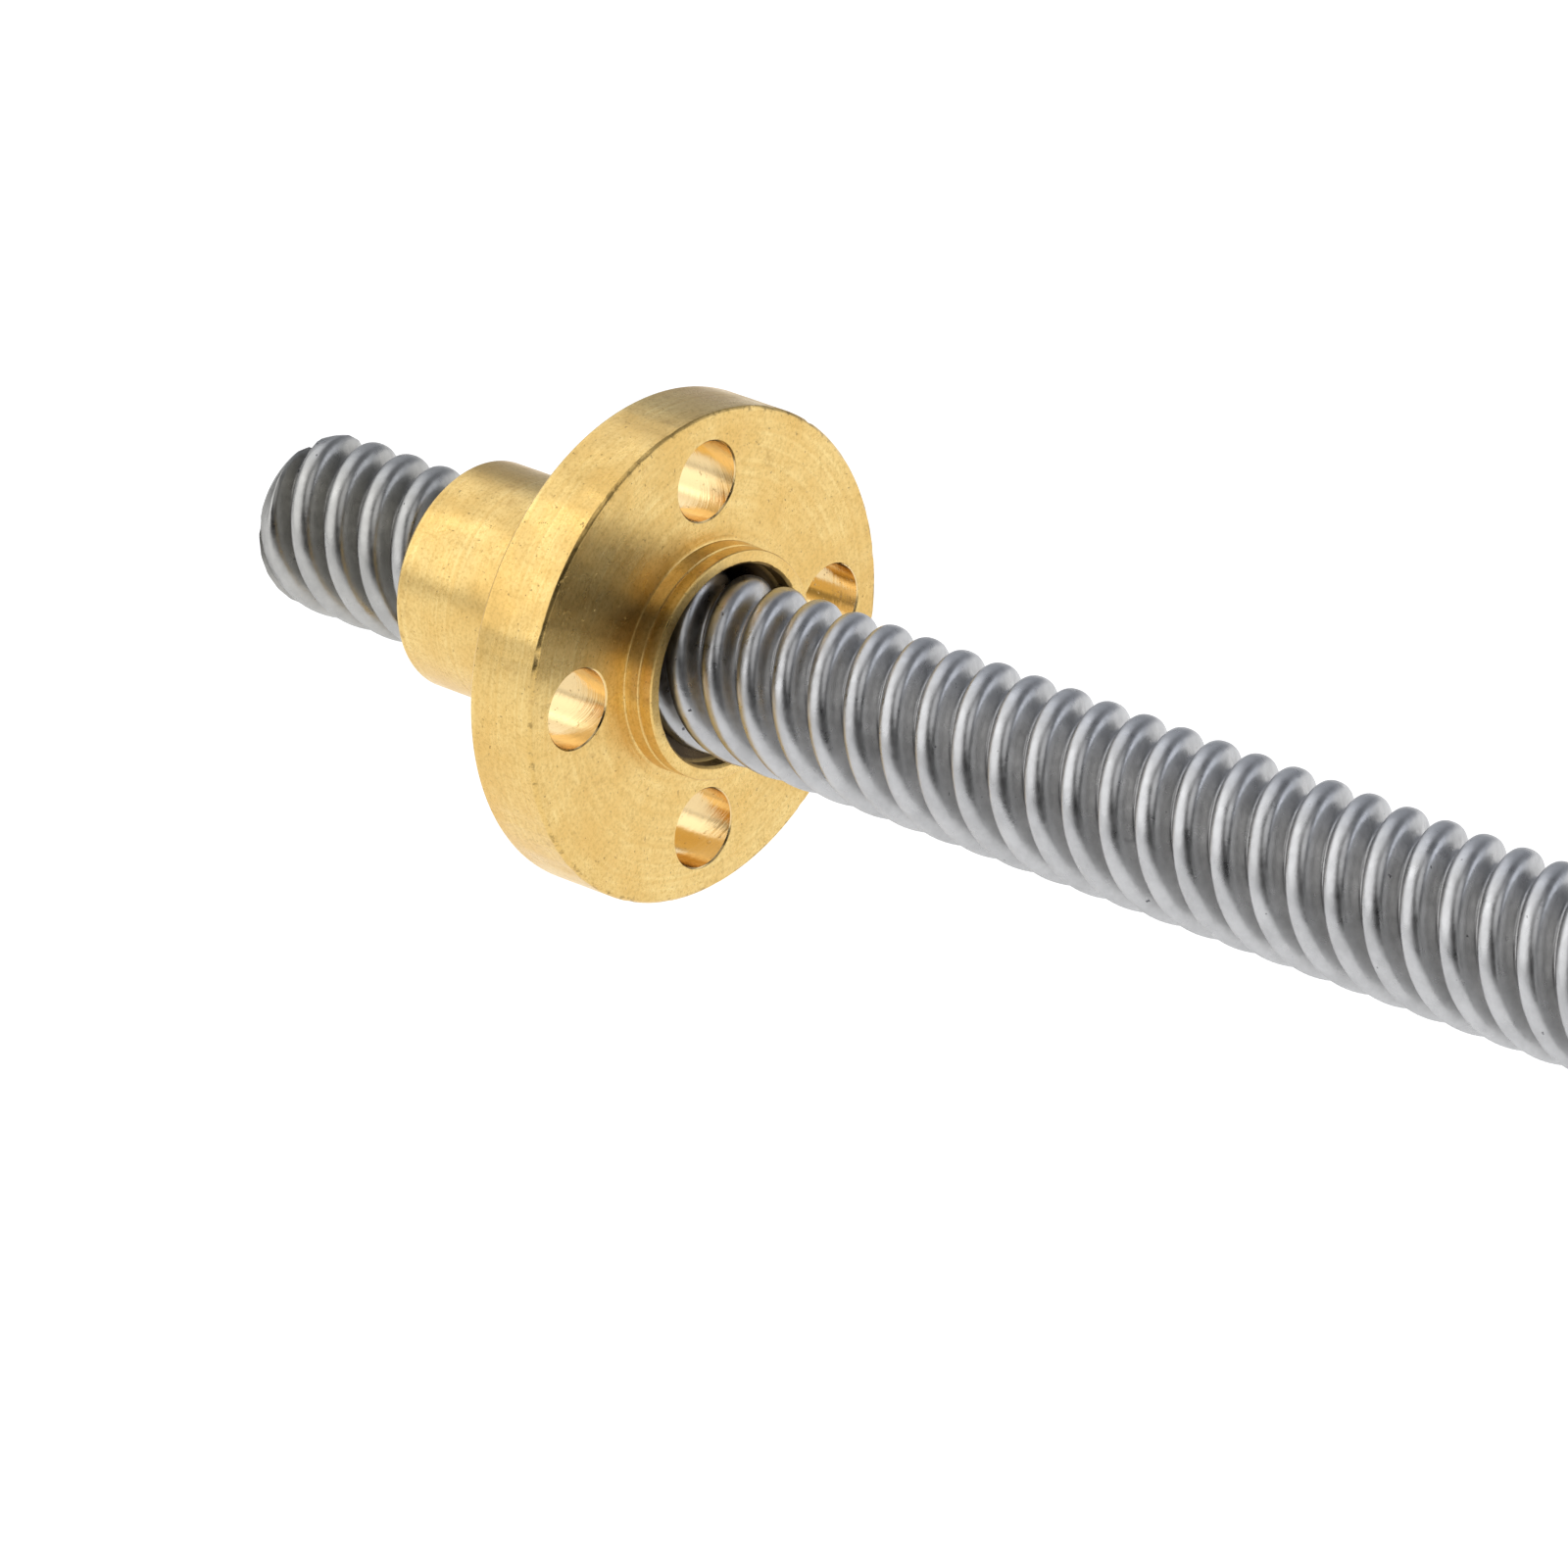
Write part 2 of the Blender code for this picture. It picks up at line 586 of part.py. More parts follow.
def main():
    for obj in list(bpy.data.objects):
        bpy.data.objects.remove(obj)

    aluminium = material("cast_aluminium", (0.60, 0.61, 0.62), 0.42, 1.0)
    lamination = material("lamination_steel", (0.10, 0.10, 0.11), 0.45, 0.9)
    rotor_steel = material("rotor_steel", (0.34, 0.34, 0.35), 0.40, 1.0)
    magnet = material("magnet", (0.12, 0.12, 0.13), 0.35, 0.8)
    copper = material("copper_winding", (0.58, 0.21, 0.07), 0.35, 0.9)
    screw_steel = material("screw_steel", (0.56, 0.57, 0.59), 0.25, 1.0)
    brass = material("brass", (0.83, 0.60, 0.25), 0.30, 1.0)
    bearing_steel = material("bearing_steel", (0.68, 0.69, 0.70), 0.18, 1.0)
    zinc = material("zinc_plated_steel", (0.50, 0.51, 0.52), 0.35, 1.0)
    nylon = material("black_nylon", (0.03, 0.03, 0.03), 0.55, 0.0)
    ivory = material("ivory_nylon", (0.82, 0.79, 0.70), 0.45, 0.0)
    board = material("circuit_board", (0.03, 0.20, 0.09), 0.50, 0.0)
    tin = material("tinned_pin", (0.72, 0.70, 0.62), 0.25, 1.0)

    assembly = empty("assembly")
    assembly.rotation_euler = (0.0, math.radians(-90), 0.0)
    motor = empty("motor_axis", assembly)
    rotor = empty("screw_axis", assembly)
    nut = empty("nut_axis", assembly)
    front_cage = empty("front_cage_axis", assembly)
    rear_cage = empty("rear_cage_axis", assembly)

    rear_end_cap(aluminium, motor)
    front_end_cap(aluminium, motor)
    stator_stack(lamination, motor)
    insulator("rear_insulator", nylon, motor, STATOR_START - JOINT_GAP, -1)
    insulator("front_insulator", nylon, motor, STATOR_END + JOINT_GAP, 1)
    for number in range(POLES):
        coil(number, copper, motor)
    wave_washer(bearing_steel, motor)
    terminal_board(board, motor)
    connector(ivory, tin, motor)
    for number, place in enumerate(corners(HOLE_SPACING), start=1):
        motor_screw(number, place, zinc, motor)
    bearing("rear_bearing", REAR_BEARING_START, bearing_steel, brass, motor, rotor, rear_cage)
    bearing("front_bearing", FRONT_BEARING_START, bearing_steel, brass, motor, rotor, front_cage)

    rotor_cup("rear_rotor_cup", REAR_CUP, 0.0, rotor_steel, rotor)
    rotor_cup("front_rotor_cup", FRONT_CUP, 0.5, rotor_steel, rotor)
    solid("rotor_magnet", tube(ROTOR_BORE, ROTOR_ROOT - 0.4, *MAGNET), magnet, rotor)
    rear_inner_end = REAR_BEARING_START + BEARING_WIDTH
    solid("rear_spacer", tube(ROTOR_BORE, 3.6, rear_inner_end + 0.05, REAR_CUP[0] - 0.05), zinc, rotor)
    solid("front_spacer", tube(ROTOR_BORE, 3.6, FRONT_CUP[1] + 0.05, FRONT_BEARING_START - 0.05), zinc, rotor)
    lead_screw(screw_steel, rotor)
    lead_nut(brass, nut)


main()
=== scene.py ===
"""The looks of the stepper motor with lead screw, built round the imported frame.

Shapes are written in millimetres along the shaft, with local +Z running from the motor's rear face to
the screw's free end and local +X pointing up. PART_TO_ROW lays them into the frame, where the shaft
runs along -X.
"""

import math

import bmesh
import bpy
from mathutils import Matrix, Vector, noise


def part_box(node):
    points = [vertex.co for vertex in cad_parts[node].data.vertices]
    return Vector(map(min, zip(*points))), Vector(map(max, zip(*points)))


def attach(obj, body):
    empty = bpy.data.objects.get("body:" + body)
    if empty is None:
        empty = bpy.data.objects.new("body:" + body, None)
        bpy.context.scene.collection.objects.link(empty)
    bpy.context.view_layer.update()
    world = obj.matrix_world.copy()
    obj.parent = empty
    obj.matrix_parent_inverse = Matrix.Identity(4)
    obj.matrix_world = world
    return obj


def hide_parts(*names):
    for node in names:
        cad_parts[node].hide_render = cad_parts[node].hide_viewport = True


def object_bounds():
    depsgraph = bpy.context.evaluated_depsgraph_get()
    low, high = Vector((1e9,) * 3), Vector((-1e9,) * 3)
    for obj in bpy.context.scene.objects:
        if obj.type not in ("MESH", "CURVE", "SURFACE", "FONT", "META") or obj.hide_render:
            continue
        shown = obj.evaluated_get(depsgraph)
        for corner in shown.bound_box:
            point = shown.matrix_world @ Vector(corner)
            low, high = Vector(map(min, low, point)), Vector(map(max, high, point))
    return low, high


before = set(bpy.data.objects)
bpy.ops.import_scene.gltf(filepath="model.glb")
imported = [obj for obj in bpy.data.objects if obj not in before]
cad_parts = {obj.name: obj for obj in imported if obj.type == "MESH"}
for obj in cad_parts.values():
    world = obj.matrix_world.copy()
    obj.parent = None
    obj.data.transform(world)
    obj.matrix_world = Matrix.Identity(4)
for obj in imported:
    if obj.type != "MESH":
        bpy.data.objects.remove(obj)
cad_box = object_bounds()

MM = 0.001
TURN = 2 * math.pi
PART_TO_ROW = Matrix(((0, 0, -1, 0), (0, 1, 0, 0), (1, 0, 0, 0), (0, 0, 0, 1)))


def span(node):
    """Where a node starts and ends along the shaft, in millimetres from the motor's rear face."""
    low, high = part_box(node)
    return -high.x / MM, -low.x / MM


def local_box(node):
    """A node's lowest and highest corners as (up, across, along the shaft), in millimetres."""
    low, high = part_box(node)
    return (low.z / MM, low.y / MM, -high.x / MM), (high.z / MM, high.y / MM, -low.x / MM)


# Screw: four starts, 8 mm lead, rolled profile. The profile is (distance from the crest along the shaft,
# depth), and its corners are rounded over SHOULDER to each side.
TIP = span("lead_screw")[1]
STARTS = 4
LEAD = 8.0
PITCH = LEAD / STARTS
CREST_RADIUS = 3.95
THREAD_PROFILE = ((0.0, 0.0), (0.22, 0.02), (0.40, 0.09), (0.56, 0.25), (0.81, 0.90), (1.0, 0.95))
SHOULDER = 0.10
SECTION_POINTS = 128
STEPS_PER_TURN = 60
JOURNAL_RADIUS = 2.5
COLLAR_RADIUS = 3.4
TIP_CHAMFER = 2.0
TIP_RADIUS = 2.75

# Nut: boss, flange and hub, measured from the flange's face on the motor's side.
BOSS_START, HUB_END = span("lead_nut")
BOSS_HEIGHT = 1.5
NUT_FACE = BOSS_START + BOSS_HEIGHT
FLANGE_THICKNESS = 3.5
FLANGE_RADIUS = 11.0
HUB_RADIUS = 5.1
HOLE_CIRCLE = 8.0
HOLE_RADIUS = 1.78
MOUTH_RADIUS = 4.6
BORE_GAP = 0.16
CREST_AT_FLANGE = math.radians(82.4)

# Motor: a square body with cut-off corners. Sizes along the shaft come from the CAD nodes.
SIDE = 42.3
CORNER_CHAMFER = 5.0
HOLE_SPACING = 31.0
PILOT_RADIUS = 11.0
PILOT_HEIGHT = 2.0
POCKET_RADIUS = 17.8
BOSS_RADIUS = 10.0
SEAT_RADIUS = 8.05
SHAFT_HOLE = 5.2
SHEET = 0.5
STATOR_OUTSIDE = 20.7

# Motor screws: a pan head at the rear, a plain shank and an M3 thread in the front cap.
HEAD_RADIUS = 2.75
HEAD_UNDERSIDE = 2.95
SHANK_RADIUS = 1.35
M3_THREAD_START = 30.8
M3_PITCH = 0.5
RECESS_RADIUS = 3.1

# Bearings: radii of the rings, of the circle through the balls and of the grooves the balls run in.
OUTER_RACE = 7.95
OUTER_LAND = 6.35
INNER_LAND = 4.15
INNER_RACE = 2.6
BALL_CIRCLE = 5.25
GROOVE_RADIUS = 1.45

# Edge rounding of the pieces that keep their CAD shape, by the finish they take.
EDGE_RADII = {"copper_winding": 0.30, "black_nylon": 0.10, "rotor_steel": 0.05, "circuit_board": 0.05}

# Light. The sky is (height, brightness) stops, where height is 0 straight down, 0.5 level, 1 straight up.
# Each soft box is (azimuth, elevation, outer edge, full core, strength), with the first four in degrees.
# A negative strength takes light away, as a dark screen does. COOL tints the light from the far side.
# FLOOR_GLOW is the (near, far) strength of the floor's own emission round POOL_CENTRE: a painted pool of
# light on the floor.
FLOOR_GLOW = (0.80, 0.56)
POOL_CENTRE = (-0.11, 0.08)
FLOOR_GAP = 0.0002
SKY = ((0.46, 0.56), (0.54, 0.44), (0.70, 0.36), (0.90, 0.20))
SOFT_BOXES = (
    (-137, 30, 36, 18, 1.22),
    (46, 12, 36, 18, 1.16),
    (-15, 64, 32, 12, 0.95),
    (170, 48, 36, 12, 1.02),
    (140, 32, 34, 10, 0.21),
    (-92, 30, 36, 10, 0.10),
    (-25, 12, 80, 34, -0.33),
)
COOL = (0.87, 0.91, 1.0)

# Camera: where it stands from the nut's face, in metres, then the side it looks from and its roll.
CAMERA_PLACE = (0.318343, -0.354305, 0.199742)
CAMERA_AZIMUTH = -48.4714
CAMERA_ELEVATION = 23.3505
CAMERA_ROLL = 0.7618
LENS = 278.56


# ---------------------------------------------------------------- mesh helpers


def row_object(name, shape, finishes, body, sharp=30.0):
    """Lays a bmesh in millimetres into the frame as a smooth-shaded object that rides on a body."""
    bmesh.ops.transform(shape, matrix=Matrix.Scale(MM, 4) @ PART_TO_ROW, verts=shape.verts)
    bmesh.ops.recalc_face_normals(shape, faces=shape.faces)
    mesh = bpy.data.meshes.new(name)
    shape.to_mesh(mesh)
    shape.free()
    made = bpy.data.objects.new(name, mesh)
    bpy.context.scene.collection.objects.link(made)
    for finish in finishes:
        mesh.materials.append(finish)
    smooth(mesh, sharp)
    if body:
        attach(made, body)
    return made


def stand_in(name, shape, finish, body, node, sharp=30.0):
    """A finished piece that stands for a CAD node: it rides on the body and takes the slot's finish."""
    made = row_object(name, shape, [finish], body, sharp)
    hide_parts(node)
    return made


def smooth(mesh, sharp):
    """Smooth shading that breaks at edges over this many degrees."""
    mesh.shade_smooth()
    mesh.set_sharp_from_angle(angle=math.radians(sharp))


def flat_shading(target):
    """Lets the large faces set the normals, so that rounded edges don't bend the light on flats."""
    modifier = target.modifiers.new("even_flats", "WEIGHTED_NORMAL")
    modifier.keep_sharp = True


def reshape(target, shapes, operation="DIFFERENCE", sharp=30.0):
    """Cuts shapes from an object for good, or joins them to it, and takes the helpers away."""
    helpers = []
    for i, shape in enumerate(shapes):
        helper = row_object(f"{target.name}_helper_{i}", shape, [], None)
        helpers.append(helper)
        modifier = target.modifiers.new(f"reshape_{i}", "BOOLEAN")
        modifier.operation = operation
        modifier.object = helper
    apply_modifiers(target)
    for helper in helpers:
        bpy.data.objects.remove(helper)
    smooth(target.data, sharp)


def apply_modifiers(target):
    """Turns what the modifiers make into the object's own mesh."""
    graph = bpy.context.evaluated_depsgraph_get()
    graph.update()
    result = bpy.data.meshes.new_from_object(target.evaluated_get(graph))
    target.modifiers.clear()
    target.data = result


def bridge(shape, rings, closed=False):
    """Joins rings of as many points each. It caps the ends unless the rings close on themselves."""
    loops = [[shape.verts.new(p) for p in ring] for ring in rings]
    following = loops[1:] + loops[:1] if closed else loops[1:]
    for low, high in zip(loops, following):
        count = len(low)
        for i in range(count):
            j = (i + 1) % count
            shape.faces.new((low[i], low[j], high[j], high[i]))
    if not closed:
        shape.faces.new(loops[0][::-1])
        shape.faces.new(loops[-1])
    return shape


def circle(radius, count, centre=(0.0, 0.0)):
    steps = [TURN * i / count for i in range(count)]
    return [(centre[0] + radius * math.cos(a), centre[1] + radius * math.sin(a)) for a in steps]


def polar(radius, angle):
    return (radius * math.cos(angle), radius * math.sin(angle))


def arc(before, corner, after, radius, steps):
    """Points that turn a corner into a short arc."""
    corner = Vector(corner)
    to_before, to_after = Vector(before) - corner, Vector(after) - corner
    cut_back = min(radius, to_before.length * 0.4, to_after.length * 0.4)
    start = corner + to_before.normalized() * cut_back
    end = corner + to_after.normalized() * cut_back
    points = []
    for k in range(steps + 1):
        t = k / steps
        points.append(tuple(start.lerp(corner, t).lerp(corner.lerp(end, t), t)))
    return points


def rounded(profile, radius, steps=3):
    """An open (radius, z) profile with its inner corners rounded."""
    points = [profile[0]]
    for before, corner, after in zip(profile, profile[1:], profile[2:]):
        points += arc(before, corner, after, radius, steps)
    return points + [profile[-1]]


def soft_outline(corners, radius, steps=3):
    """A closed outline with all its corners rounded."""
    points = []
    for i, corner in enumerate(corners):
        points += arc(corners[i - 1], corner, corners[(i + 1) % len(corners)], radius, steps)
    return points


def loft(levels):
    """A solid through outlines of as many points each: levels holds (outline, z)."""
    return bridge(bmesh.new(), [[(x, y, z) for x, y in outline] for outline, z in levels])


def turned(profile, count=96, ring=False, centre=(0.0, 0.0)):
    """A solid turned about a line along the shaft from (radius, z) points. A ring's profile is a loop."""
    rings = [[(x, y, z) for x, y in circle(radius, count, centre)] for radius, z in profile]
    return bridge(bmesh.new(), rings, closed=ring)


def box(low, high):
    """A block between two opposite corners."""
    size = [b - a for a, b in zip(low, high)]
    middle = [(b + a) / 2 for a, b in zip(low, high)]
    place = Matrix.Translation(middle) @ Matrix.Diagonal((*size, 1.0))
    shape = bmesh.new()
    bmesh.ops.create_cube(shape, size=1.0, matrix=place)
    return shape


# ---------------------------------------------------------------- thread


def sharp_depth(offset):
    """The thread's depth at an axial distance from a crest, before its corners are rounded."""
    offset = abs((offset + PITCH / 2) % PITCH - PITCH / 2)
    for (near, shallow), (far, deep) in zip(THREAD_PROFILE, THREAD_PROFILE[1:]):
        if offset <= far:
            return shallow + (deep - shallow) * (offset - near) / (far - near)
    return THREAD_PROFILE[-1][1]


def profile_depth(offset):
    """The depth with rounded corners: the mean over a short stretch of the sharp profile."""
    samples = 7
    shifts = [SHOULDER * (2 * k / (samples - 1) - 1) for k in range(samples)]
    return sum(sharp_depth(offset + shift) for shift in shifts) / samples


def crest_offset(angle, z):
    """The axial distance from the nearest crest, up to a whole number of pitches."""
    return (z - NUT_FACE) - (angle - CREST_AT_FLANGE) / TURN * LEAD


def thread_radius(angle, z):
    return CREST_RADIUS - profile_depth(crest_offset(angle, z))


def screw_section(z, limit=None, fill=0.0):
    """One cross-section of the screw. It turns with the helix, so its points follow the thread."""
    points = []
    for i in range(SECTION_POINTS):
        angle = TURN * (i / SECTION_POINTS + (z - NUT_FACE) / LEAD)
        radius = thread_radius(angle, z)
        if limit:
            radius = min(radius, limit)
        radius = max(radius, fill)
        points.append((*polar(radius, angle), z))
    return points


def screw_shape():
    """Journal, collar and thread in one surface, with a rounded chamfer at the free end."""
    start = span("lead_screw")[0]
    bearing_end = span("front_bearing_inner_ring")[1] + 0.1
    thread_start = bearing_end + 4.6
    run_out_length = 1.2
    rings = [screw_section(start, 2.1, 0.0)]
    plain = [(start + 0.4, JOURNAL_RADIUS), (bearing_end, JOURNAL_RADIUS)]
    plain += [(bearing_end, COLLAR_RADIUS), (thread_start - 0.1, COLLAR_RADIUS)]
    for z, radius in plain:
        rings.append(screw_section(z, radius, radius))
    last = TIP - TIP_CHAMFER
    count = math.ceil((last - thread_start) / LEAD * STEPS_PER_TURN)
    for i in range(count + 1):
        z = thread_start + (last - thread_start) * i / count
        run_out = min((z - thread_start) / run_out_length, 1.0)
        fill = COLLAR_RADIUS * (1 - run_out)
        limit = COLLAR_RADIUS + (CREST_RADIUS - COLLAR_RADIUS) * run_out if run_out < 1 else None
        rings.append(screw_section(z, limit, fill))
    steps, roundness = 9, 0.96
    for i in range(1, steps + 1):
        t = i / steps
        drop = 1 - math.sqrt(1 - (roundness * t) ** 2)
        limit = CREST_RADIUS - (CREST_RADIUS - TIP_RADIUS) * drop / (1 - math.sqrt(1 - roundness**2))
        rings.append(screw_section(last + TIP_CHAMFER * t, limit))
    return bridge(bmesh.new(), rings)


# ---------------------------------------------------------------- nut


def nut_outside():
    """The turned outside as (radius, z), from the boss's mouth, over a tool line, to the hub's mouth."""
    back = NUT_FACE + FLANGE_THICKNESS
    chamfer = 0.14
    line = NUT_FACE - 0.8
    profile = [
        (MOUTH_RADIUS, BOSS_START), (HUB_RADIUS - 0.05, BOSS_START), (HUB_RADIUS, BOSS_START + 0.06),
        (HUB_RADIUS, line - 0.06), (HUB_RADIUS - 0.07, line - 0.02), (HUB_RADIUS - 0.07, line + 0.02),
        (HUB_RADIUS + 0.02, line + 0.06), (HUB_RADIUS + 0.02, NUT_FACE - 0.03),
        (HUB_RADIUS + 0.12, NUT_FACE), (FLANGE_RADIUS - chamfer, NUT_FACE),
        (FLANGE_RADIUS, NUT_FACE + chamfer), (FLANGE_RADIUS, back - chamfer),
        (FLANGE_RADIUS - chamfer, back), (HUB_RADIUS + 0.15, back), (HUB_RADIUS, back + 0.15),
        (HUB_RADIUS, HUB_END - 0.25), (HUB_RADIUS - 0.25, HUB_END), (MOUTH_RADIUS, HUB_END),
    ]
    return rounded(profile, 0.05, 2)


def nut_shape():
    """The nut without its flange holes: the turned outside and a threaded bore, recessed at both mouths."""
    points = 224
    rings = []
    for radius, z in nut_outside():
        rings.append([(*polar(radius, TURN * i / points), z) for i in range(points)])
    recess, cone = 0.8, 0.8
    steps = 120
    for k in range(steps + 1):
        z = HUB_END + (BOSS_START - HUB_END) * k / steps
        inward = min(z - BOSS_START, HUB_END - z)
        mouth = MOUTH_RADIUS - min(inward, 0.12) - max(inward - recess, 0.0) / cone
        ring = []
        for i in range(points):
            angle = TURN * i / points
            radius = max(thread_radius(angle, z) + BORE_GAP, mouth)
            ring.append((*polar(min(radius, MOUTH_RADIUS), angle), z))
        rings.append(ring)
    return bridge(bmesh.new(), rings, closed=True)


def nicked(shape):
    """Small dents and burrs along the flange's face edge and the mouth of the boss."""
    for vert in shape.verts:
        radius = math.hypot(vert.co.x, vert.co.y)
        on_edge = abs(radius - FLANGE_RADIUS) < 0.2 and abs(vert.co.z - NUT_FACE) < 0.2
        on_mouth = abs(radius - MOUTH_RADIUS) < 0.1 and abs(vert.co.z - BOSS_START) < 0.1
        if on_edge or on_mouth:
            rough = noise.noise(vert.co * 3.1)
            depth = max(rough - 0.22, 0.0) * 0.14
            vert.co.x *= 1 - depth / radius
            vert.co.y *= 1 - depth / radius
            vert.co.z += depth * 0.6
    return shape


def hole_cutter(centre, low, high, radius, chamfer):
    """A drill with a small cone at both faces."""
    over = 0.5
    profile = [
        (radius + chamfer + over, low - over), (radius, low + chamfer), (radius, high - chamfer),
        (radius + chamfer + over, high + over),
    ]
    rings = [[(*p, z) for p in circle(r, 56, centre)] for r, z in profile]
    return bridge(bmesh.new(), rings)


# ---------------------------------------------------------------- motor


def chamfered_square(side, chamfer):
    """The corners of a square with its own four cut off."""
    half = side / 2
    short = half - chamfer
    return [
        (half, -short), (half, short), (short, half), (-short, half),
        (-half, short), (-half, -short), (-short, -half), (short, -half),
    ]


def cap_outline(inset):
    """The square body's outline, moved inwards all round."""
    chamfer = CORNER_CHAMFER - (2 - math.sqrt(2)) * inset
    return soft_outline(chamfered_square(SIDE - 2 * inset, chamfer), 0.9)


def cap_levels(joint, face):
    """Levels from a cap's step at the stator to the rounded edge of its outer face."""
    outward = 1 if face > joint else -1
    levels = [(cap_outline(0.22), joint), (cap_outline(0.22), joint + outward * 0.7)]
    levels += [(cap_outline(0.0), joint + outward * 0.92)]
    steps, edge = 5, 0.55
    for k in range(steps + 1):
        turn = math.pi / 2 * k / steps
        inset, drop = edge * (1 - math.cos(turn)), edge * (1 - math.sin(turn))
        levels.append((cap_outline(inset), face - outward * drop))
    return levels


def corner_places():
    """The centres of the four fixing holes."""
    half = HOLE_SPACING / 2
    return [(x, y) for x in (-half, half) for y in (-half, half)]


def tapped_hole(centre, start, end):
    """An M3 thread's shape as rings, with a small cone at its mouth."""
    minor, major = 1.40, 1.56
    count = int((end - start) / M3_PITCH)
    profile = []
    for k in range(count):
        profile += [(minor, start + k * M3_PITCH), (major, start + (k + 0.5) * M3_PITCH)]
    profile += [(major, end - 0.3), (major + 0.6, end + 0.3)]
    return turned(profile, 28, centre=centre)


def front_end_cap(finish):
    """The cap on the screw's side: a pilot with an undercut, a dished shaft hole and four tapped holes."""
    joint, top = span("front_end_cap")
    face = top - PILOT_HEIGHT
    shape = loft(cap_levels(joint, face))
    cap = stand_in("front_cap_cast", shape, finish, "motor_housing", "front_end_cap")
    pilot = rounded([
        (PILOT_RADIUS, face - 1), (PILOT_RADIUS, top - 0.35),
        (PILOT_RADIUS - 0.35, top), (PILOT_RADIUS - 1.0, top),
    ], 0.08)
    reshape(cap, [turned(pilot, 144)], "UNION")
    seat_end = span("front_bearing_outer_ring")[1] + 0.1
    pocket = turned([
        (POCKET_RADIUS, joint - 1), (POCKET_RADIUS, joint + 6.5), (BOSS_RADIUS, joint + 6.5),
        (BOSS_RADIUS, joint + 1.1), (SEAT_RADIUS, joint + 1.1), (SEAT_RADIUS, seat_end),
        (SHAFT_HOLE, seat_end), (SHAFT_HOLE, top - 1.3),
        (7.6, top - 0.9), (7.9, top - 0.3), (8.6, top + 0.4),
    ])
    undercut = turned([
        (PILOT_RADIUS - 0.08, face - 0.18), (PILOT_RADIUS + 0.5, face - 0.18),
        (PILOT_RADIUS + 0.7, face + 0.1), (PILOT_RADIUS - 0.08, face + 0.1),
    ], 144, ring=True)
    holes = [tapped_hole(place, joint - 0.5, face) for place in corner_places()]
    reshape(cap, [pocket, undercut, *holes])
    flat_shading(cap)


def rear_end_cap(finish):
    """The closed cap: a bearing seat, four screw recesses, the socket's window and a turned groove."""
    face, joint = span("rear_end_cap")
    shape = loft(cap_levels(joint, face))
    cap = stand_in("rear_cap_cast", shape, finish, "motor_housing", "rear_end_cap")
    seat_end = span("rear_bearing_outer_ring")[1] + 0.1
    floor = joint - 6.9
    pocket = turned([
        (SEAT_RADIUS, floor + 0.05), (SEAT_RADIUS, seat_end), (BOSS_RADIUS, seat_end), (BOSS_RADIUS, floor),
        (POCKET_RADIUS, floor), (POCKET_RADIUS, joint + 1),
    ])
    shapes = [pocket]
    wide, hole = RECESS_RADIUS, SHANK_RADIUS + 0.25
    recess = [(wide + 0.4, -0.4), (wide, 0.0), (wide, 2.9), (wide - 0.2, 3.0)]
    for place in corner_places():
        shapes.append(turned(recess, 40, centre=place))
        shapes.append(turned([(hole, 2.0), (hole, joint + 1)], 28, centre=place))
    low, high = local_box("connector_housing")
    gap = 0.2
    window_low = (low[0] - gap, -SIDE, low[2] - gap)
    window_high = (high[0] + gap, -BOSS_RADIUS - 5, high[2] + gap)
    shapes.append(box(window_low, window_high))
    shapes.append(turned([(8.6, -0.1), (9.5, -0.1), (9.3, 0.28), (8.8, 0.28)], 120, ring=True))
    reshape(cap, shapes)
    flat_shading(cap)


def stator_sheets(finish):
    """The stator with the edges of its sheets: fine grooves round the outside, half a millimetre apart."""
    shape = bmesh.new()
    shape.from_mesh(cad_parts["stator_stack"].data)
    bmesh.ops.remove_doubles(shape, verts=shape.verts, dist=1e-6)
    start, end = span("stator_stack")
    half_groove, sunk = 0.07, 0.9965
    joints = [start + SHEET * k for k in range(1, int((end - start) / SHEET))]
    outside = set(outer_faces(shape))
    flat = [e for e in shape.edges if set(e.link_faces) <= outside and e.calc_face_angle(1.0) < 0.01]
    bmesh.ops.dissolve_edges(shape, edges=flat)
    for joint in joints:
        for offset in (-half_groove, 0.0, half_groove):
            outside = outer_faces(shape)
            around = {e for f in outside for e in f.edges} | {v for f in outside for v in f.verts}
            cut = {"plane_co": Vector((-(joint + offset) * MM, 0, 0)), "plane_no": (1, 0, 0)}
            bmesh.ops.bisect_plane(shape, geom=[*outside, *around], dist=1e-8, **cut)
    for vert in {v for f in outer_faces(shape) for v in f.verts}:
        along = (-vert.co.x / MM - start) / SHEET
        if abs(along - round(along)) < 0.01 and 0.5 < along < len(joints) + 0.5:
            vert.co.yz = vert.co.yz * sunk
    to_part = (Matrix.Scale(MM, 4) @ PART_TO_ROW).inverted()
    bmesh.ops.transform(shape, matrix=to_part, verts=shape.verts)
    stand_in("stator_sheets", shape, finish, "motor_housing", "stator_stack", 20)


def outer_faces(shape):
    """The faces on the stator's eight outer sides, told by how far they lie from the shaft."""
    sides = [f for f in shape.faces if abs(f.normal.x) < 0.1]
    return [f for f in sides if f.normal.dot(f.calc_center_median()) > STATOR_OUTSIDE * MM]


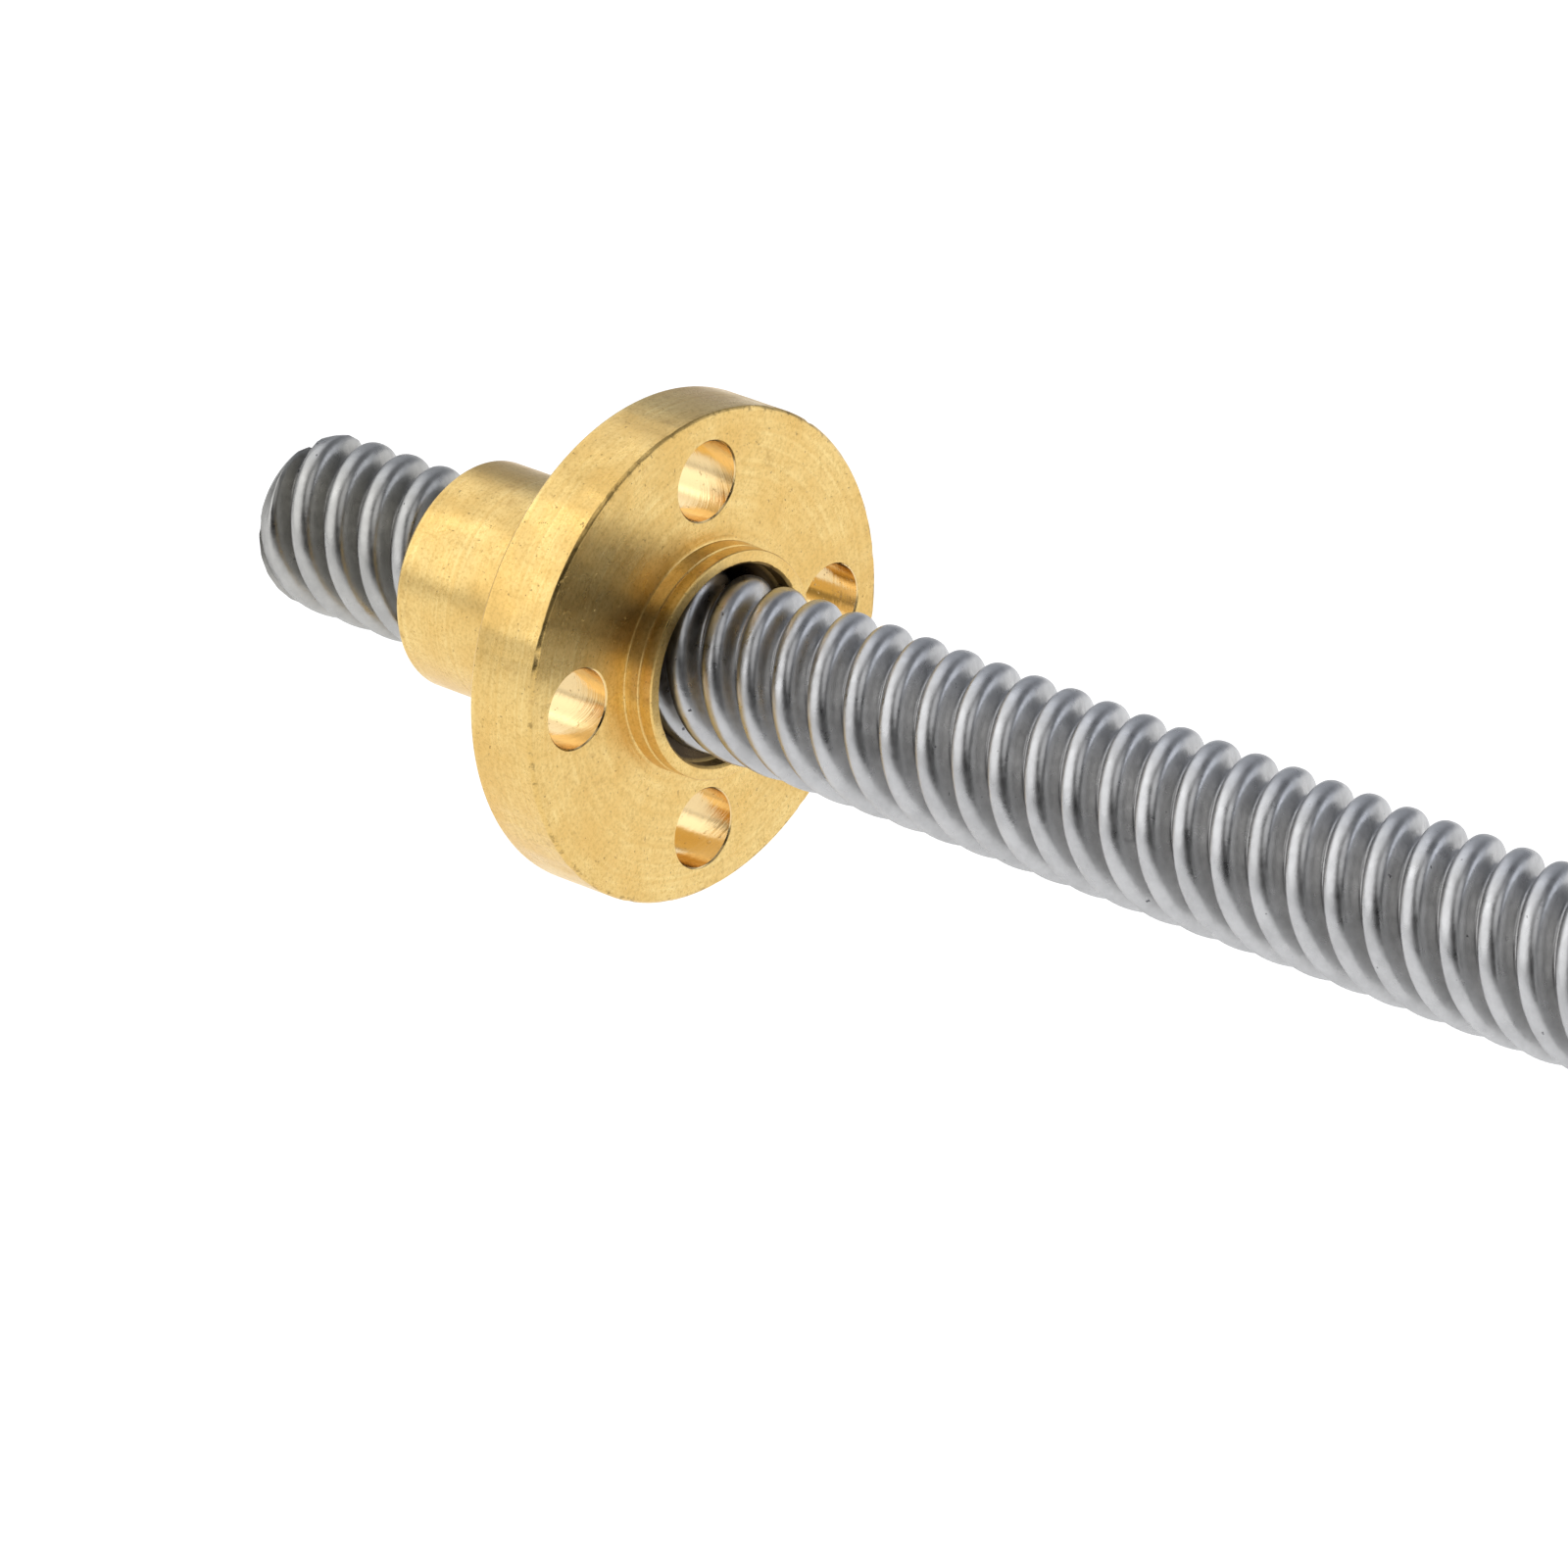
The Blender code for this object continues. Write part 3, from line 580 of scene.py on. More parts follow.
def motor_screw(number, finish):
    """A pan-head screw with a crossed recess and a thread on the end that holds in the front cap."""
    node = f"motor_screw_{number}"
    low, high = local_box(node)
    place = ((low[0] + high[0]) / 2, (low[1] + high[1]) / 2)
    top, tip = low[2], high[2]
    profile = rounded([
        (0.6, top), (1.9, top + 0.04), (2.6, top + 0.45), (HEAD_RADIUS, top + 0.95),
        (HEAD_RADIUS, HEAD_UNDERSIDE), (SHANK_RADIUS + 0.1, HEAD_UNDERSIDE),
        (SHANK_RADIUS, HEAD_UNDERSIDE + 0.2), (SHANK_RADIUS, M3_THREAD_START),
    ], 0.12)
    for k in range(int((tip - 0.6 - M3_THREAD_START) / M3_PITCH)):
        profile.append((SHANK_RADIUS - 0.18, M3_THREAD_START + (k + 0.3) * M3_PITCH))
        profile.append((SHANK_RADIUS, M3_THREAD_START + (k + 0.9) * M3_PITCH))
    profile += [(1.1, tip - 0.2), (0.95, tip)]
    shape = turned(profile, 40, centre=place)
    screw = stand_in(f"pan_screw_{number}", shape, finish, "motor_housing", node)
    reshape(screw, [crossed_recess(place, top)])
    flat_shading(screw)


def crossed_recess(place, top):
    """A tapered cross through levels of (depth under the head's top, arm length, half an arm's width)."""
    levels = []
    for depth, arm, blade in ((-0.2, 1.75, 0.36), (0.0, 1.7, 0.34), (1.3, 0.75, 0.22)):
        corner = [(arm, -blade), (arm, blade), (blade, blade)]
        cross = []
        for k in range(4):
            c, s = math.cos(TURN * k / 4), math.sin(TURN * k / 4)
            cross += [(place[0] + x * c - y * s, place[1] + x * s + y * c) for x, y in corner]
        levels.append((cross, top + depth))
    return loft(levels)


def connector_housing(finish):
    """A six-way crimp-terminal socket: thin walls, a bevelled mouth, polarity slots and side grooves."""
    low, high = local_box("connector_housing")
    mouth, back = low[1], high[1]
    shell = box(low, high)
    housing = stand_in("socket_shell", shell, finish, "motor_housing", "connector_housing")
    wall, floor = 0.75, mouth + 6.0
    slot_centre, slot_half, groove_depth, over = 4.6, 0.65, 0.3, 0.001
    shapes = [box((low[0] + wall, mouth - 1, low[2] + wall), (high[0] - wall, floor, high[2] - wall))]
    for side in (-1, 1):
        slot = side * slot_centre
        slot_low = (slot - slot_half, mouth - 1, high[2] - wall - 0.1)
        shapes.append(box(slot_low, (slot + slot_half, mouth + 2.6, high[2] + 1)))
        inner, outer = sorted((side * high[0], side * high[0] - side * groove_depth))
        shapes.append(box((inner - over, mouth - 1, 5.2), (outer + over, mouth + 3.6, 6.8)))
    reshape(housing, shapes)
    bevel_edges(housing, 0.13)
    reshape(housing, [pin_hole(number, floor - 1, back + 1) for number in range(1, 5)])
    flat_shading(housing)


def pin_hole(number, start, end):
    """A cutter a little wider than a pin, right through the wall that holds it."""
    low, high = local_box(f"connector_pin_{number}")
    clear = 0.05
    return box((low[0] - clear, start, low[2] - clear), (high[0] + clear, end, high[2] + clear))


def bevel_edges(target, width):
    """Rounds an object's edges for good, in millimetres."""
    modifier = target.modifiers.new("soft_edges", "BEVEL")
    modifier.width = width * MM
    modifier.segments = 2
    modifier.limit_method = "ANGLE"
    modifier.angle_limit = math.radians(40)
    apply_modifiers(target)
    smooth(target.data, 35)


def connector_pin(number, finish):
    """A square pin with a pointed tip."""
    node = f"connector_pin_{number}"
    low, high = local_box(node)
    x, z = (low[0] + high[0]) / 2, (low[2] + high[2]) / 2
    half = (high[0] - low[0]) / 2
    tip, back = low[1], high[1]
    point = [(tip, 0.35), (tip + 0.12, 0.45), (tip + 0.7, 0.96), (tip + 0.78, 1.0)]
    rings = []
    for y, size in [*point, (back - 0.2, 1.0), (back, 0.6)]:
        reach = half * size
        corners = [(x + a * reach, z + b * reach) for a, b in ((-1, -1), (1, -1), (1, 1), (-1, 1))]
        rings.append([(px, y, pz) for px, pz in soft_outline(corners, 0.05, 2)])
    shape = bridge(bmesh.new(), rings)
    stand_in(f"tinned_pin_{number}", shape, finish, "motor_housing", node)


def bearing(name, finish):
    """Ground rings with a round groove for the balls, and pressed shields with a bead."""
    start, end = span(f"{name}_outer_ring")
    middle = (start + end) / 2
    corner = 0.25
    sweep = [math.radians(a) for a in range(-36, 37, 9)]
    groove = [(GROOVE_RADIUS * math.cos(a), GROOVE_RADIUS * math.sin(a)) for a in sweep]
    outer = [
        (OUTER_LAND, start), (OUTER_RACE - corner, start), (OUTER_RACE, start + corner),
        (OUTER_RACE, end - corner), (OUTER_RACE - corner, end), (OUTER_LAND, end),
    ]
    outer += [(BALL_CIRCLE + deep, middle - along) for deep, along in groove]
    shape = turned(outer, ring=True)
    stand_in(f"{name}_outer_race", shape, finish, "motor_housing", f"{name}_outer_ring")
    inner = [
        (INNER_LAND, end), (INNER_RACE + corner, end), (INNER_RACE, end - corner),
        (INNER_RACE, start + corner), (INNER_RACE + corner, start), (INNER_LAND, start),
    ]
    inner += [(BALL_CIRCLE - deep, middle + along) for deep, along in groove]
    shape = turned(inner, ring=True)
    stand_in(f"{name}_inner_race", shape, finish, "screw_rotor", f"{name}_inner_ring")
    bearing_shield(name, "rear", -0.05, finish)
    bearing_shield(name, "front", 0.05, finish)


def bearing_shield(name, side, bead, finish):
    """A pressed ring with a bead, which stands out towards its own side of the bearing."""
    node = f"{name}_{side}_shield"
    low, high = span(node)
    inner, outer = INNER_LAND + 0.2, OUTER_LAND - 0.1
    shape = turned([
        (inner, low), (4.75, low), (4.9, low + bead), (5.7, low + bead), (5.85, low), (outer, low),
        (outer, high), (5.85, high), (5.7, high + bead), (4.9, high + bead), (4.75, high), (inner, high),
    ], ring=True)
    stand_in(f"{name}_{side}_cover", shape, finish, "motor_housing", node)


def plain_ring(name, node, finishes, slot):
    """A turned ring on the shaft with small chamfers, as large as its CAD node."""
    start, end = span(node)
    inner, outer = INNER_RACE - 0.05, local_box(node)[1][0]
    edge = 0.12
    profile = [
        (inner + edge, start), (outer - edge, start), (outer, start + edge), (outer, end - edge),
        (outer - edge, end), (inner + edge, end), (inner, end - edge), (inner, start + edge),
    ]
    stand_in(name, turned(profile, ring=True), finishes[slot], "screw_rotor", node)


# ---------------------------------------------------------------- materials


class Nodes:
    """A short way to write a material's nodes: coordinates, noise and maths as chained calls."""

    def __init__(self, target):
        """Starts a new material of that name, or takes over a world, whose coordinates are directions."""
        if isinstance(target, str):
            self.material = bpy.data.materials.new(target)
            self.material.use_nodes = True
            self.tree = self.material.node_tree
            self.shader = self.tree.nodes["Principled BSDF"]
        else:
            self.tree = target.node_tree
        where = "Object" if isinstance(target, str) else "Generated"
        self.place = self.tree.nodes.new("ShaderNodeTexCoord").outputs[where]

    def add(self, kind, inputs=(), **settings):
        node = self.tree.nodes.new("ShaderNode" + kind)
        for key, value in settings.items():
            setattr(node, key, value)
        for key, value in dict(inputs).items():
            socket = node.inputs[key]
            if isinstance(value, bpy.types.NodeSocket):
                self.tree.links.new(value, socket)
            else:
                socket.default_value = value
        return node

    def math(self, operation, first, second=0.0):
        return self.add("Math", {0: first, 1: second}, operation=operation).outputs[0]

    def axes(self):
        parts = self.add("SeparateXYZ", {0: self.place})
        return parts.outputs["X"], parts.outputs["Y"], parts.outputs["Z"]

    def halved(self, value):
        """Moves a value from -1..1 to 0..1, for a ramp."""
        return self.math("ADD", self.math("MULTIPLY", value, 0.5), 0.5)

    def combine(self, x, y=0.0, z=0.0):
        return self.add("CombineXYZ", {0: x, 1: y, 2: z}).outputs[0]

    def radius(self):
        """The distance from the shaft's axis, in metres."""
        _, y, z = self.axes()
        return self.add("VectorMath", {0: self.combine(0.0, y, z)}, operation="LENGTH").outputs["Value"]

    def noise(self, scale, detail=2.0, roughness=0.5, where=None, dimensions="3D"):
        where = self.place if where is None else where
        inputs = {"Vector": where, "Scale": scale, "Detail": detail, "Roughness": roughness}
        if dimensions == "1D":
            inputs = {"W": where, "Scale": scale, "Detail": detail, "Roughness": roughness}
        return self.add("TexNoise", inputs, noise_dimensions=dimensions).outputs[0]

    def ramp(self, value, *stops):
        """A colour ramp through (position, grey or colour) stops."""
        node = self.add("ValToRGB", {0: value})
        elements = node.color_ramp.elements
        while len(elements) < len(stops):
            elements.new(0.5)
        for element, (position, colour) in zip(elements, stops):
            element.position = position
            element.color = (*colour, 1.0) if isinstance(colour, tuple) else (colour, colour, colour, 1.0)
        return node.outputs[0]

    def mix(self, factor, first, second, blend="MIX"):
        node = self.add("Mix", {0: factor}, data_type="RGBA", blend_type=blend)
        for socket, value in ((node.inputs[6], first), (node.inputs[7], second)):
            if isinstance(value, bpy.types.NodeSocket):
                self.tree.links.new(value, socket)
            else:
                socket.default_value = (*value, 1.0)
        return node.outputs[2]

    def set(self, **values):
        for key, value in values.items():
            socket = self.shader.inputs[key.replace("_", " ")]
            if isinstance(value, bpy.types.NodeSocket):
                self.tree.links.new(value, socket)
            else:
                socket.default_value = value

    def bump(self, height, distance, strength=1.0, normal=None):
        inputs = {"Height": height, "Distance": distance, "Strength": strength}
        if normal is not None:
            inputs["Normal"] = normal
        return self.add("Bump", inputs).outputs[0]


def brass():
    """Turned brass: tool rings, drifting tone, stains, pits, painted shade in the bore, shiny drilled holes
    and a nicked edge.
    """
    n = Nodes("brass_turned")
    x, y, z = n.axes()
    radius = n.radius()
    along = n.math("MULTIPLY", x, 1.3)
    rings = n.noise(14000.0, 3.0, 0.6, n.math("ADD", radius, along), "1D")
    coarse = n.noise(3600.0, 2.0, 0.5, n.math("ADD", radius, along), "1D")
    drift = n.ramp(n.noise(330.0, 4.0, 0.65), (0.36, 0.0), (0.64, 1.0))
    grain = n.noise(6500.0, 3.0, 0.7)
    base = n.mix(drift, (0.77, 0.51, 0.17), (0.87, 0.65, 0.27))
    ringed = n.mix(n.ramp(coarse, (0.35, 0.0), (0.65, 0.5)), base, (0.72, 0.47, 0.15))
    grained = n.mix(n.ramp(grain, (0.46, 0.0), (0.68, 0.62)), ringed, (0.54, 0.35, 0.10))
    stains = n.ramp(n.noise(900.0, 4.0, 0.7), (0.62, 0.0), (0.80, 0.7))
    stained = n.mix(stains, grained, (0.45, 0.27, 0.08))
    pit_mask = n.ramp(n.noise(5200.0, 2.0, 0.6), (0.68, 0.0), (0.74, 1.0))
    pitted = n.mix(n.math("MULTIPLY", pit_mask, 0.5), stained, (0.20, 0.12, 0.04))
    # Painted shade: the threaded bore and its recessed mouths, within about 4.5 mm of the axis, turn almost
    # black.
    in_bore = n.ramp(n.math("MULTIPLY", radius, 100.0), (0.435, 1.0), (0.455, 0.0))
    bore_shaded = n.mix(in_bore, pitted, (0.10, 0.065, 0.03))
    worn = n.mix(edge_nicks(n, x, radius), bore_shaded, (0.10, 0.06, 0.02))
    hole = drilled(n, y, z)
    rough = n.ramp(n.noise(700.0, 3.0), (0.3, 0.24), (0.75, 0.36))
    n.set(Base_Color=n.mix(hole, worn, (0.80, 0.60, 0.31)), Metallic=1.0)
    n.set(Anisotropic=0.75, Anisotropic_Rotation=0.25)
    n.set(Roughness=n.mix(hole, rough, (0.13, 0.13, 0.13)))
    n.set(Tangent=n.add("Tangent", direction_type="RADIAL", axis="X").outputs[0])
    ring_marks = n.bump(rings, 0.000004, normal=n.bump(coarse, 0.000008))
    n.set(Normal=n.bump(pit_mask, -0.000012, normal=n.bump(grain, 0.000003, normal=ring_marks)))
    return n.material


def edge_nicks(n, x, radius):
    """A mask of short dark dashes along the flange's edge on the motor's side."""
    from_face = n.math("ABSOLUTE", n.math("ADD", x, NUT_FACE * MM))
    near_face = n.ramp(n.math("MULTIPLY", from_face, 1000.0), (0.10, 1.0), (0.16, 0.0))
    near_edge = n.ramp(n.math("MULTIPLY", radius, 1000.0 / FLANGE_RADIUS), (0.976, 0.0), (0.986, 1.0))
    dashes = n.ramp(n.noise(1700.0, 3.0, 0.7), (0.54, 0.0), (0.61, 0.45))
    return n.math("MULTIPLY", n.math("MULTIPLY", near_face, near_edge), dashes)


def drilled(n, y, z):
    """A mask of the walls of the four flange holes, which lie on the Y and Z axes."""
    across, up = n.math("ABSOLUTE", y), n.math("ABSOLUTE", z)
    out = n.math("SUBTRACT", n.math("MAXIMUM", across, up), HOLE_CIRCLE * MM)
    aside = n.math("MINIMUM", across, up)
    away = n.add("VectorMath", {0: n.combine(out, aside)}, operation="LENGTH").outputs["Value"]
    return n.ramp(n.math("MULTIPLY", away, 500.0 / HOLE_RADIUS), (0.505, 1.0), (0.515, 0.0))


def rolled_steel():
    """Rolled steel: lighter crests over roots darkened by painted shade, fine streaks, a few dark pits, oil
    near the free end.
    """
    n = Nodes("steel_rolled")
    streaks = n.noise(1500.0, 4.0, 0.65)
    fine = n.noise(9000.0, 2.0, 0.6)
    mottle = n.noise(3400.0, 3.0, 0.6)
    pit_mask = n.ramp(n.noise(2600.0, 2.0, 0.5), (0.73, 0.0), (0.78, 1.0))
    crest = n.mix(streaks, (0.47, 0.475, 0.485), (0.60, 0.60, 0.605))
    # Painted shade: below the crests the steel turns a darker grey by distance from the axis, standing in
    # for shade in the grooves.
    groove = n.mix(mottle, (0.36, 0.36, 0.36), (0.54, 0.535, 0.53))
    height = n.math("MULTIPLY", n.radius(), 1000 / CREST_RADIUS)
    groove_shaded = n.mix(n.ramp(height, (0.80, 0.0), (0.99, 1.0)), groove, crest)
    drift = n.ramp(n.noise(650.0, 4.0, 0.7), (0.36, 0.84), (0.62, 1.0))
    base = n.mix(1.0, groove_shaded, drift, "MULTIPLY")
    x, _, _ = n.axes()
    near_end = n.ramp(n.math("MULTIPLY", x, -1 / (TIP * MM)), (0.90, 0.0), (0.945, 1.0))
    oil = n.mix(n.ramp(height, (0.80, 0.0), (0.95, 1.0)), (0.68, 0.67, 0.63), (0.87, 0.86, 0.82))
    oiled = n.mix(near_end, base, oil, "MULTIPLY")
    n.set(Base_Color=n.mix(n.math("MULTIPLY", pit_mask, 0.8), oiled, (0.05, 0.05, 0.06)), Metallic=1.0)
    n.set(Roughness=n.ramp(streaks, (0.3, 0.24), (0.7, 0.42)))
    surface = n.bump(fine, 0.000003, normal=n.bump(streaks, 0.000016))
    n.set(Normal=n.bump(pit_mask, -0.00001, normal=surface))
    return n.material


def cast_aluminium():
    """Die-cast end caps: a blasted skin on the sides, tool rings on the end faces, handling marks."""
    n = Nodes("aluminium_cast")
    x, _, _ = n.axes()
    normal = n.add("SeparateXYZ", {0: n.add("NewGeometry").outputs["Normal"]}).outputs["X"]
    machined = n.ramp(n.math("ABSOLUTE", normal), (0.90, 0.0), (0.97, 1.0))
    rings = n.noise(5200.0, 3.0, 0.6, n.math("ADD", n.radius(), n.math("MULTIPLY", x, 0.7)), "1D")
    skin = n.noise(3600.0, 3.0, 0.65)
    patches = n.noise(160.0, 4.0, 0.6)
    scuffs = n.ramp(n.noise(520.0, 5.0, 0.75), (0.60, 0.0), (0.72, 0.6))
    cast = n.mix(patches, (0.40, 0.405, 0.41), (0.49, 0.49, 0.495))
    turned_face = n.mix(rings, (0.47, 0.475, 0.48), (0.58, 0.58, 0.58))
    base = n.mix(machined, cast, turned_face)
    n.set(Base_Color=n.mix(scuffs, base, (0.28, 0.28, 0.285)), Metallic=1.0)
    cast_rough = n.ramp(skin, (0.3, 0.44), (0.7, 0.58))
    turned_rough = n.ramp(patches, (0.3, 0.26), (0.7, 0.36))
    n.set(Roughness=n.mix(machined, cast_rough, turned_rough))
    blasted = n.bump(skin, 0.000016, n.ramp(machined, (0.0, 1.0), (1.0, 0.1)))
    n.set(Normal=n.bump(rings, 0.000007, n.ramp(machined, (0.0, 0.0), (1.0, 1.0)), blasted))
    return n.material


def lamination_steel():
    """Blackened sheet edges: each sheet its own dark grey, with brownish grime and bare rubbed spots."""
    n = Nodes("steel_sheets")
    x, _, _ = n.axes()
    sheets = n.noise(2000.0, 0.0, 0.5, x, "1D")
    grime = n.noise(420.0, 4.0, 0.7)
    rubbed = n.ramp(n.noise(1300.0, 4.0, 0.7), (0.60, 0.0), (0.74, 0.55))
    coat = n.mix(sheets, (0.045, 0.045, 0.05), (0.10, 0.10, 0.105))
    grimy = n.mix(n.ramp(grime, (0.45, 0.0), (0.7, 0.5)), coat, (0.06, 0.045, 0.035))
    n.set(Base_Color=n.mix(rubbed, grimy, (0.30, 0.30, 0.31)), Metallic=0.85)
    n.set(Roughness=n.ramp(grime, (0.3, 0.36), (0.7, 0.56)))
    n.set(Normal=n.bump(n.noise(4200.0, 3.0, 0.6), 0.00001))
    return n.material


def rotor_steel():
    """Ground rotor sheets: a mid grey that steps along the shaft, with a blue heat tint in places."""
    n = Nodes("steel_rotor")
    x, _, _ = n.axes()
    sheets = n.noise(4000.0, 1.0, 0.5, x, "1D")
    tint = n.noise(260.0, 3.0, 0.6)
    grey = n.mix(sheets, (0.26, 0.26, 0.27), (0.42, 0.42, 0.42))
    n.set(Base_Color=n.mix(n.ramp(tint, (0.55, 0.0), (0.75, 0.4)), grey, (0.22, 0.24, 0.32)), Metallic=1.0)
    n.set(Roughness=n.ramp(tint, (0.3, 0.30), (0.7, 0.44)), Normal=n.bump(sheets, 0.00001))
    return n.material


def magnet():
    """Sintered magnet: dark grey grains with a dull plated sheen."""
    n = Nodes("magnet_sintered")
    grains = n.noise(2800.0, 4.0, 0.7)
    n.set(Base_Color=n.mix(grains, (0.07, 0.07, 0.075), (0.17, 0.17, 0.18)), Metallic=0.8)
    n.set(Roughness=n.ramp(grains, (0.3, 0.34), (0.7, 0.55)), Normal=n.bump(grains, 0.00002))
    return n.material


def copper_winding():
    """Enamelled wire in layers at growing distances from the shaft, with painted shade in the gaps between
    the wires.
    """
    n = Nodes("copper_enamelled")
    pattern = {"Vector": n.place, "Scale": 850.0, "Distortion": 0.35, "Detail": 1.0, "Detail Scale": 0.5}
    wires = n.add("TexWave", pattern, wave_type="RINGS", rings_direction="X").outputs["Fac"]
    drift = n.noise(500.0, 3.0, 0.6)
    lit = n.mix(drift, (0.62, 0.20, 0.06), (0.78, 0.32, 0.11))
    # Painted shade: the gaps between the wire rings are near-black copper.
    n.set(Base_Color=n.mix(wires, (0.20, 0.05, 0.015), lit), Metallic=0.9)
    n.set(Coat_Weight=0.5, Coat_Roughness=0.12)
    n.set(Roughness=n.ramp(drift, (0.3, 0.28), (0.7, 0.40)), Normal=n.bump(wires, 0.00006))
    return n.material


def bright_steel(name, light, dark, roughness, stripes=7000.0):
    """Ground or plated steel: fine tool rings, soft clouds of tone and a few small marks."""
    n = Nodes(name)
    x, _, _ = n.axes()
    rings = n.noise(stripes, 3.0, 0.6, n.math("ADD", n.radius(), x), "1D")
    clouds = n.noise(380.0, 4.0, 0.65)
    marks = n.ramp(n.noise(2400.0, 3.0, 0.7), (0.68, 0.0), (0.76, 0.6))
    mark_colour = tuple(c * 0.4 for c in dark)
    n.set(Base_Color=n.mix(marks, n.mix(clouds, dark, light), mark_colour), Metallic=1.0)
    n.set(Roughness=n.ramp(clouds, (0.3, roughness * 0.85), (0.7, roughness * 1.25)))
    n.set(Normal=n.bump(rings, 0.000004))
    return n.material


def cage_brass():
    """Pressed sheet brass, duller than the nut, with soft clouds and press marks."""
    n = Nodes("brass_pressed")
    clouds = n.noise(600.0, 4.0, 0.65)
    grain = n.noise(5000.0, 3.0, 0.6)
    n.set(Base_Color=n.mix(clouds, (0.62, 0.42, 0.15), (0.80, 0.58, 0.24)), Metallic=1.0)
    n.set(Roughness=n.ramp(clouds, (0.3, 0.28), (0.7, 0.42)), Normal=n.bump(grain, 0.000008))
    return n.material


def nylon(name, light, dark, roughness):
    """Moulded nylon: a faint texture from the mould, uneven tone and a little dust."""
    n = Nodes(name)
    clouds = n.noise(300.0, 3.0, 0.6)
    skin = n.noise(3200.0, 4.0, 0.7)
    dust = n.ramp(n.noise(1600.0, 4.0, 0.8), (0.66, 0.0), (0.80, 0.25))
    dusty = tuple(c * 0.7 for c in dark)
    n.set(Base_Color=n.mix(dust, n.mix(clouds, dark, light), dusty), Metallic=0.0, Subsurface_Weight=0.05)
    n.set(Roughness=n.ramp(skin, (0.3, roughness * 0.85), (0.7, roughness * 1.2)))
    n.set(Normal=n.bump(skin, 0.000012))
    return n.material


def circuit_board():
    """Green solder mask over a woven glass board, with paler lines where the tracks run."""
    n = Nodes("board_green")
    weave = n.add("TexWave", {"Vector": n.place, "Scale": 500.0, "Distortion": 0.6}).outputs["Fac"]
    _, y, z = n.axes()
    pattern = {"Vector": n.combine(y, z), "Scale": 200.0, "Mortar Size": 0.03, "Mortar Smooth": 0.2}
    tracks = n.add("TexBrick", pattern).outputs["Fac"]
    base = n.mix(weave, (0.012, 0.10, 0.045), (0.02, 0.14, 0.065))
    n.set(Base_Color=n.mix(tracks, base, (0.05, 0.24, 0.11)), Metallic=0.0, Coat_Weight=0.4)
    n.set(Roughness=n.ramp(weave, (0.0, 0.34), (1.0, 0.46)), Normal=n.bump(tracks, 0.00001))
    return n.material


# ---------------------------------------------------------------- stage: floor, light, camera


def stage_floor():
    """A white table that glows: a painted pool of light, brightest under the motor and softly darker away
    from it.
    """
    shape = bmesh.new()
    bmesh.ops.create_circle(shape, cap_ends=True, segments=96, radius=4.0)
    mesh = bpy.data.meshes.new("floor")
    shape.to_mesh(mesh)
    shape.free()
    made = bpy.data.objects.new("floor", mesh)
    made.location = (*POOL_CENTRE, cad_box[0][2] - FLOOR_GAP)
    bpy.context.scene.collection.objects.link(made)
    n = Nodes("floor_white")
    x, y, _ = n.axes()
    away = n.add("VectorMath", {0: n.combine(x, y)}, operation="LENGTH").outputs["Value"]
    # Painted light: the floor's emission fades from FLOOR_GLOW's near value to its far value with distance
    # from POOL_CENTRE.
    glow = n.ramp(away, (0.19, FLOOR_GLOW[0]), (0.34, FLOOR_GLOW[1]))
    n.set(Base_Color=(0.5, 0.5, 0.5, 1.0), Roughness=0.9, Emission_Color=glow, Emission_Strength=1.0)
    mesh.materials.append(n.material)


def direction(azimuth, elevation):
    """A unit vector, with azimuth measured from +X towards +Y, in degrees."""
    azimuth, elevation = math.radians(azimuth), math.radians(elevation)
    flat = math.cos(elevation)
    return (flat * math.cos(azimuth), flat * math.sin(azimuth), math.sin(elevation))


def world_light():
    """A soft studio: light from boxes left, right and above the camera and at the back, dim overhead."""
    world = bpy.data.worlds.new("studio")
    world.use_nodes = True
    bpy.context.scene.world = world
    n = Nodes(world)
    _, depth, height = n.axes()
    total = n.ramp(n.halved(height), *SKY)
    for azimuth, elevation, wide, core, strength in SOFT_BOXES:
        centre = direction(azimuth, elevation)
        facing = n.add("VectorMath", {0: n.place, 1: centre}, operation="DOT_PRODUCT")
        inputs = {"Value": facing.outputs["Value"], "To Max": strength}
        inputs["From Min"], inputs["From Max"] = math.cos(math.radians(wide)), math.cos(math.radians(core))
        lobe = n.add("MapRange", inputs, interpolation_type="SMOOTHSTEP").outputs[0]
        total = n.math("ADD", total, lobe)
    tint = n.ramp(n.halved(depth), (0.50, 1.0), (0.80, COOL))
    light = n.mix(1.0, n.combine(total, total, total), tint, "MULTIPLY")
    n.tree.links.new(light, world.node_tree.nodes["Background"].inputs["Color"])


def camera():
    """The photograph's viewpoint: half a metre away on the motor's side of the nut, looking down at it."""
    data = bpy.data.cameras.new("camera")
    data.sensor_width = 36.0
    data.lens = LENS
    data.clip_start = 0.01
    data.clip_end = 50.0
    made = bpy.data.objects.new("camera", data)
    bpy.context.scene.collection.objects.link(made)
    place = Vector(CAMERA_PLACE) + Vector((-NUT_FACE * MM, 0, 0))
    turn = Matrix.Rotation(math.radians(CAMERA_AZIMUTH + 90), 4, "Z")
    tilt = Matrix.Rotation(math.radians(90 - CAMERA_ELEVATION), 4, "X")
    roll = Matrix.Rotation(math.radians(CAMERA_ROLL), 4, "Z")
    made.matrix_world = Matrix.Translation(place) @ turn @ tilt @ roll
    bpy.context.scene.camera = made


# ---------------------------------------------------------------- putting it together


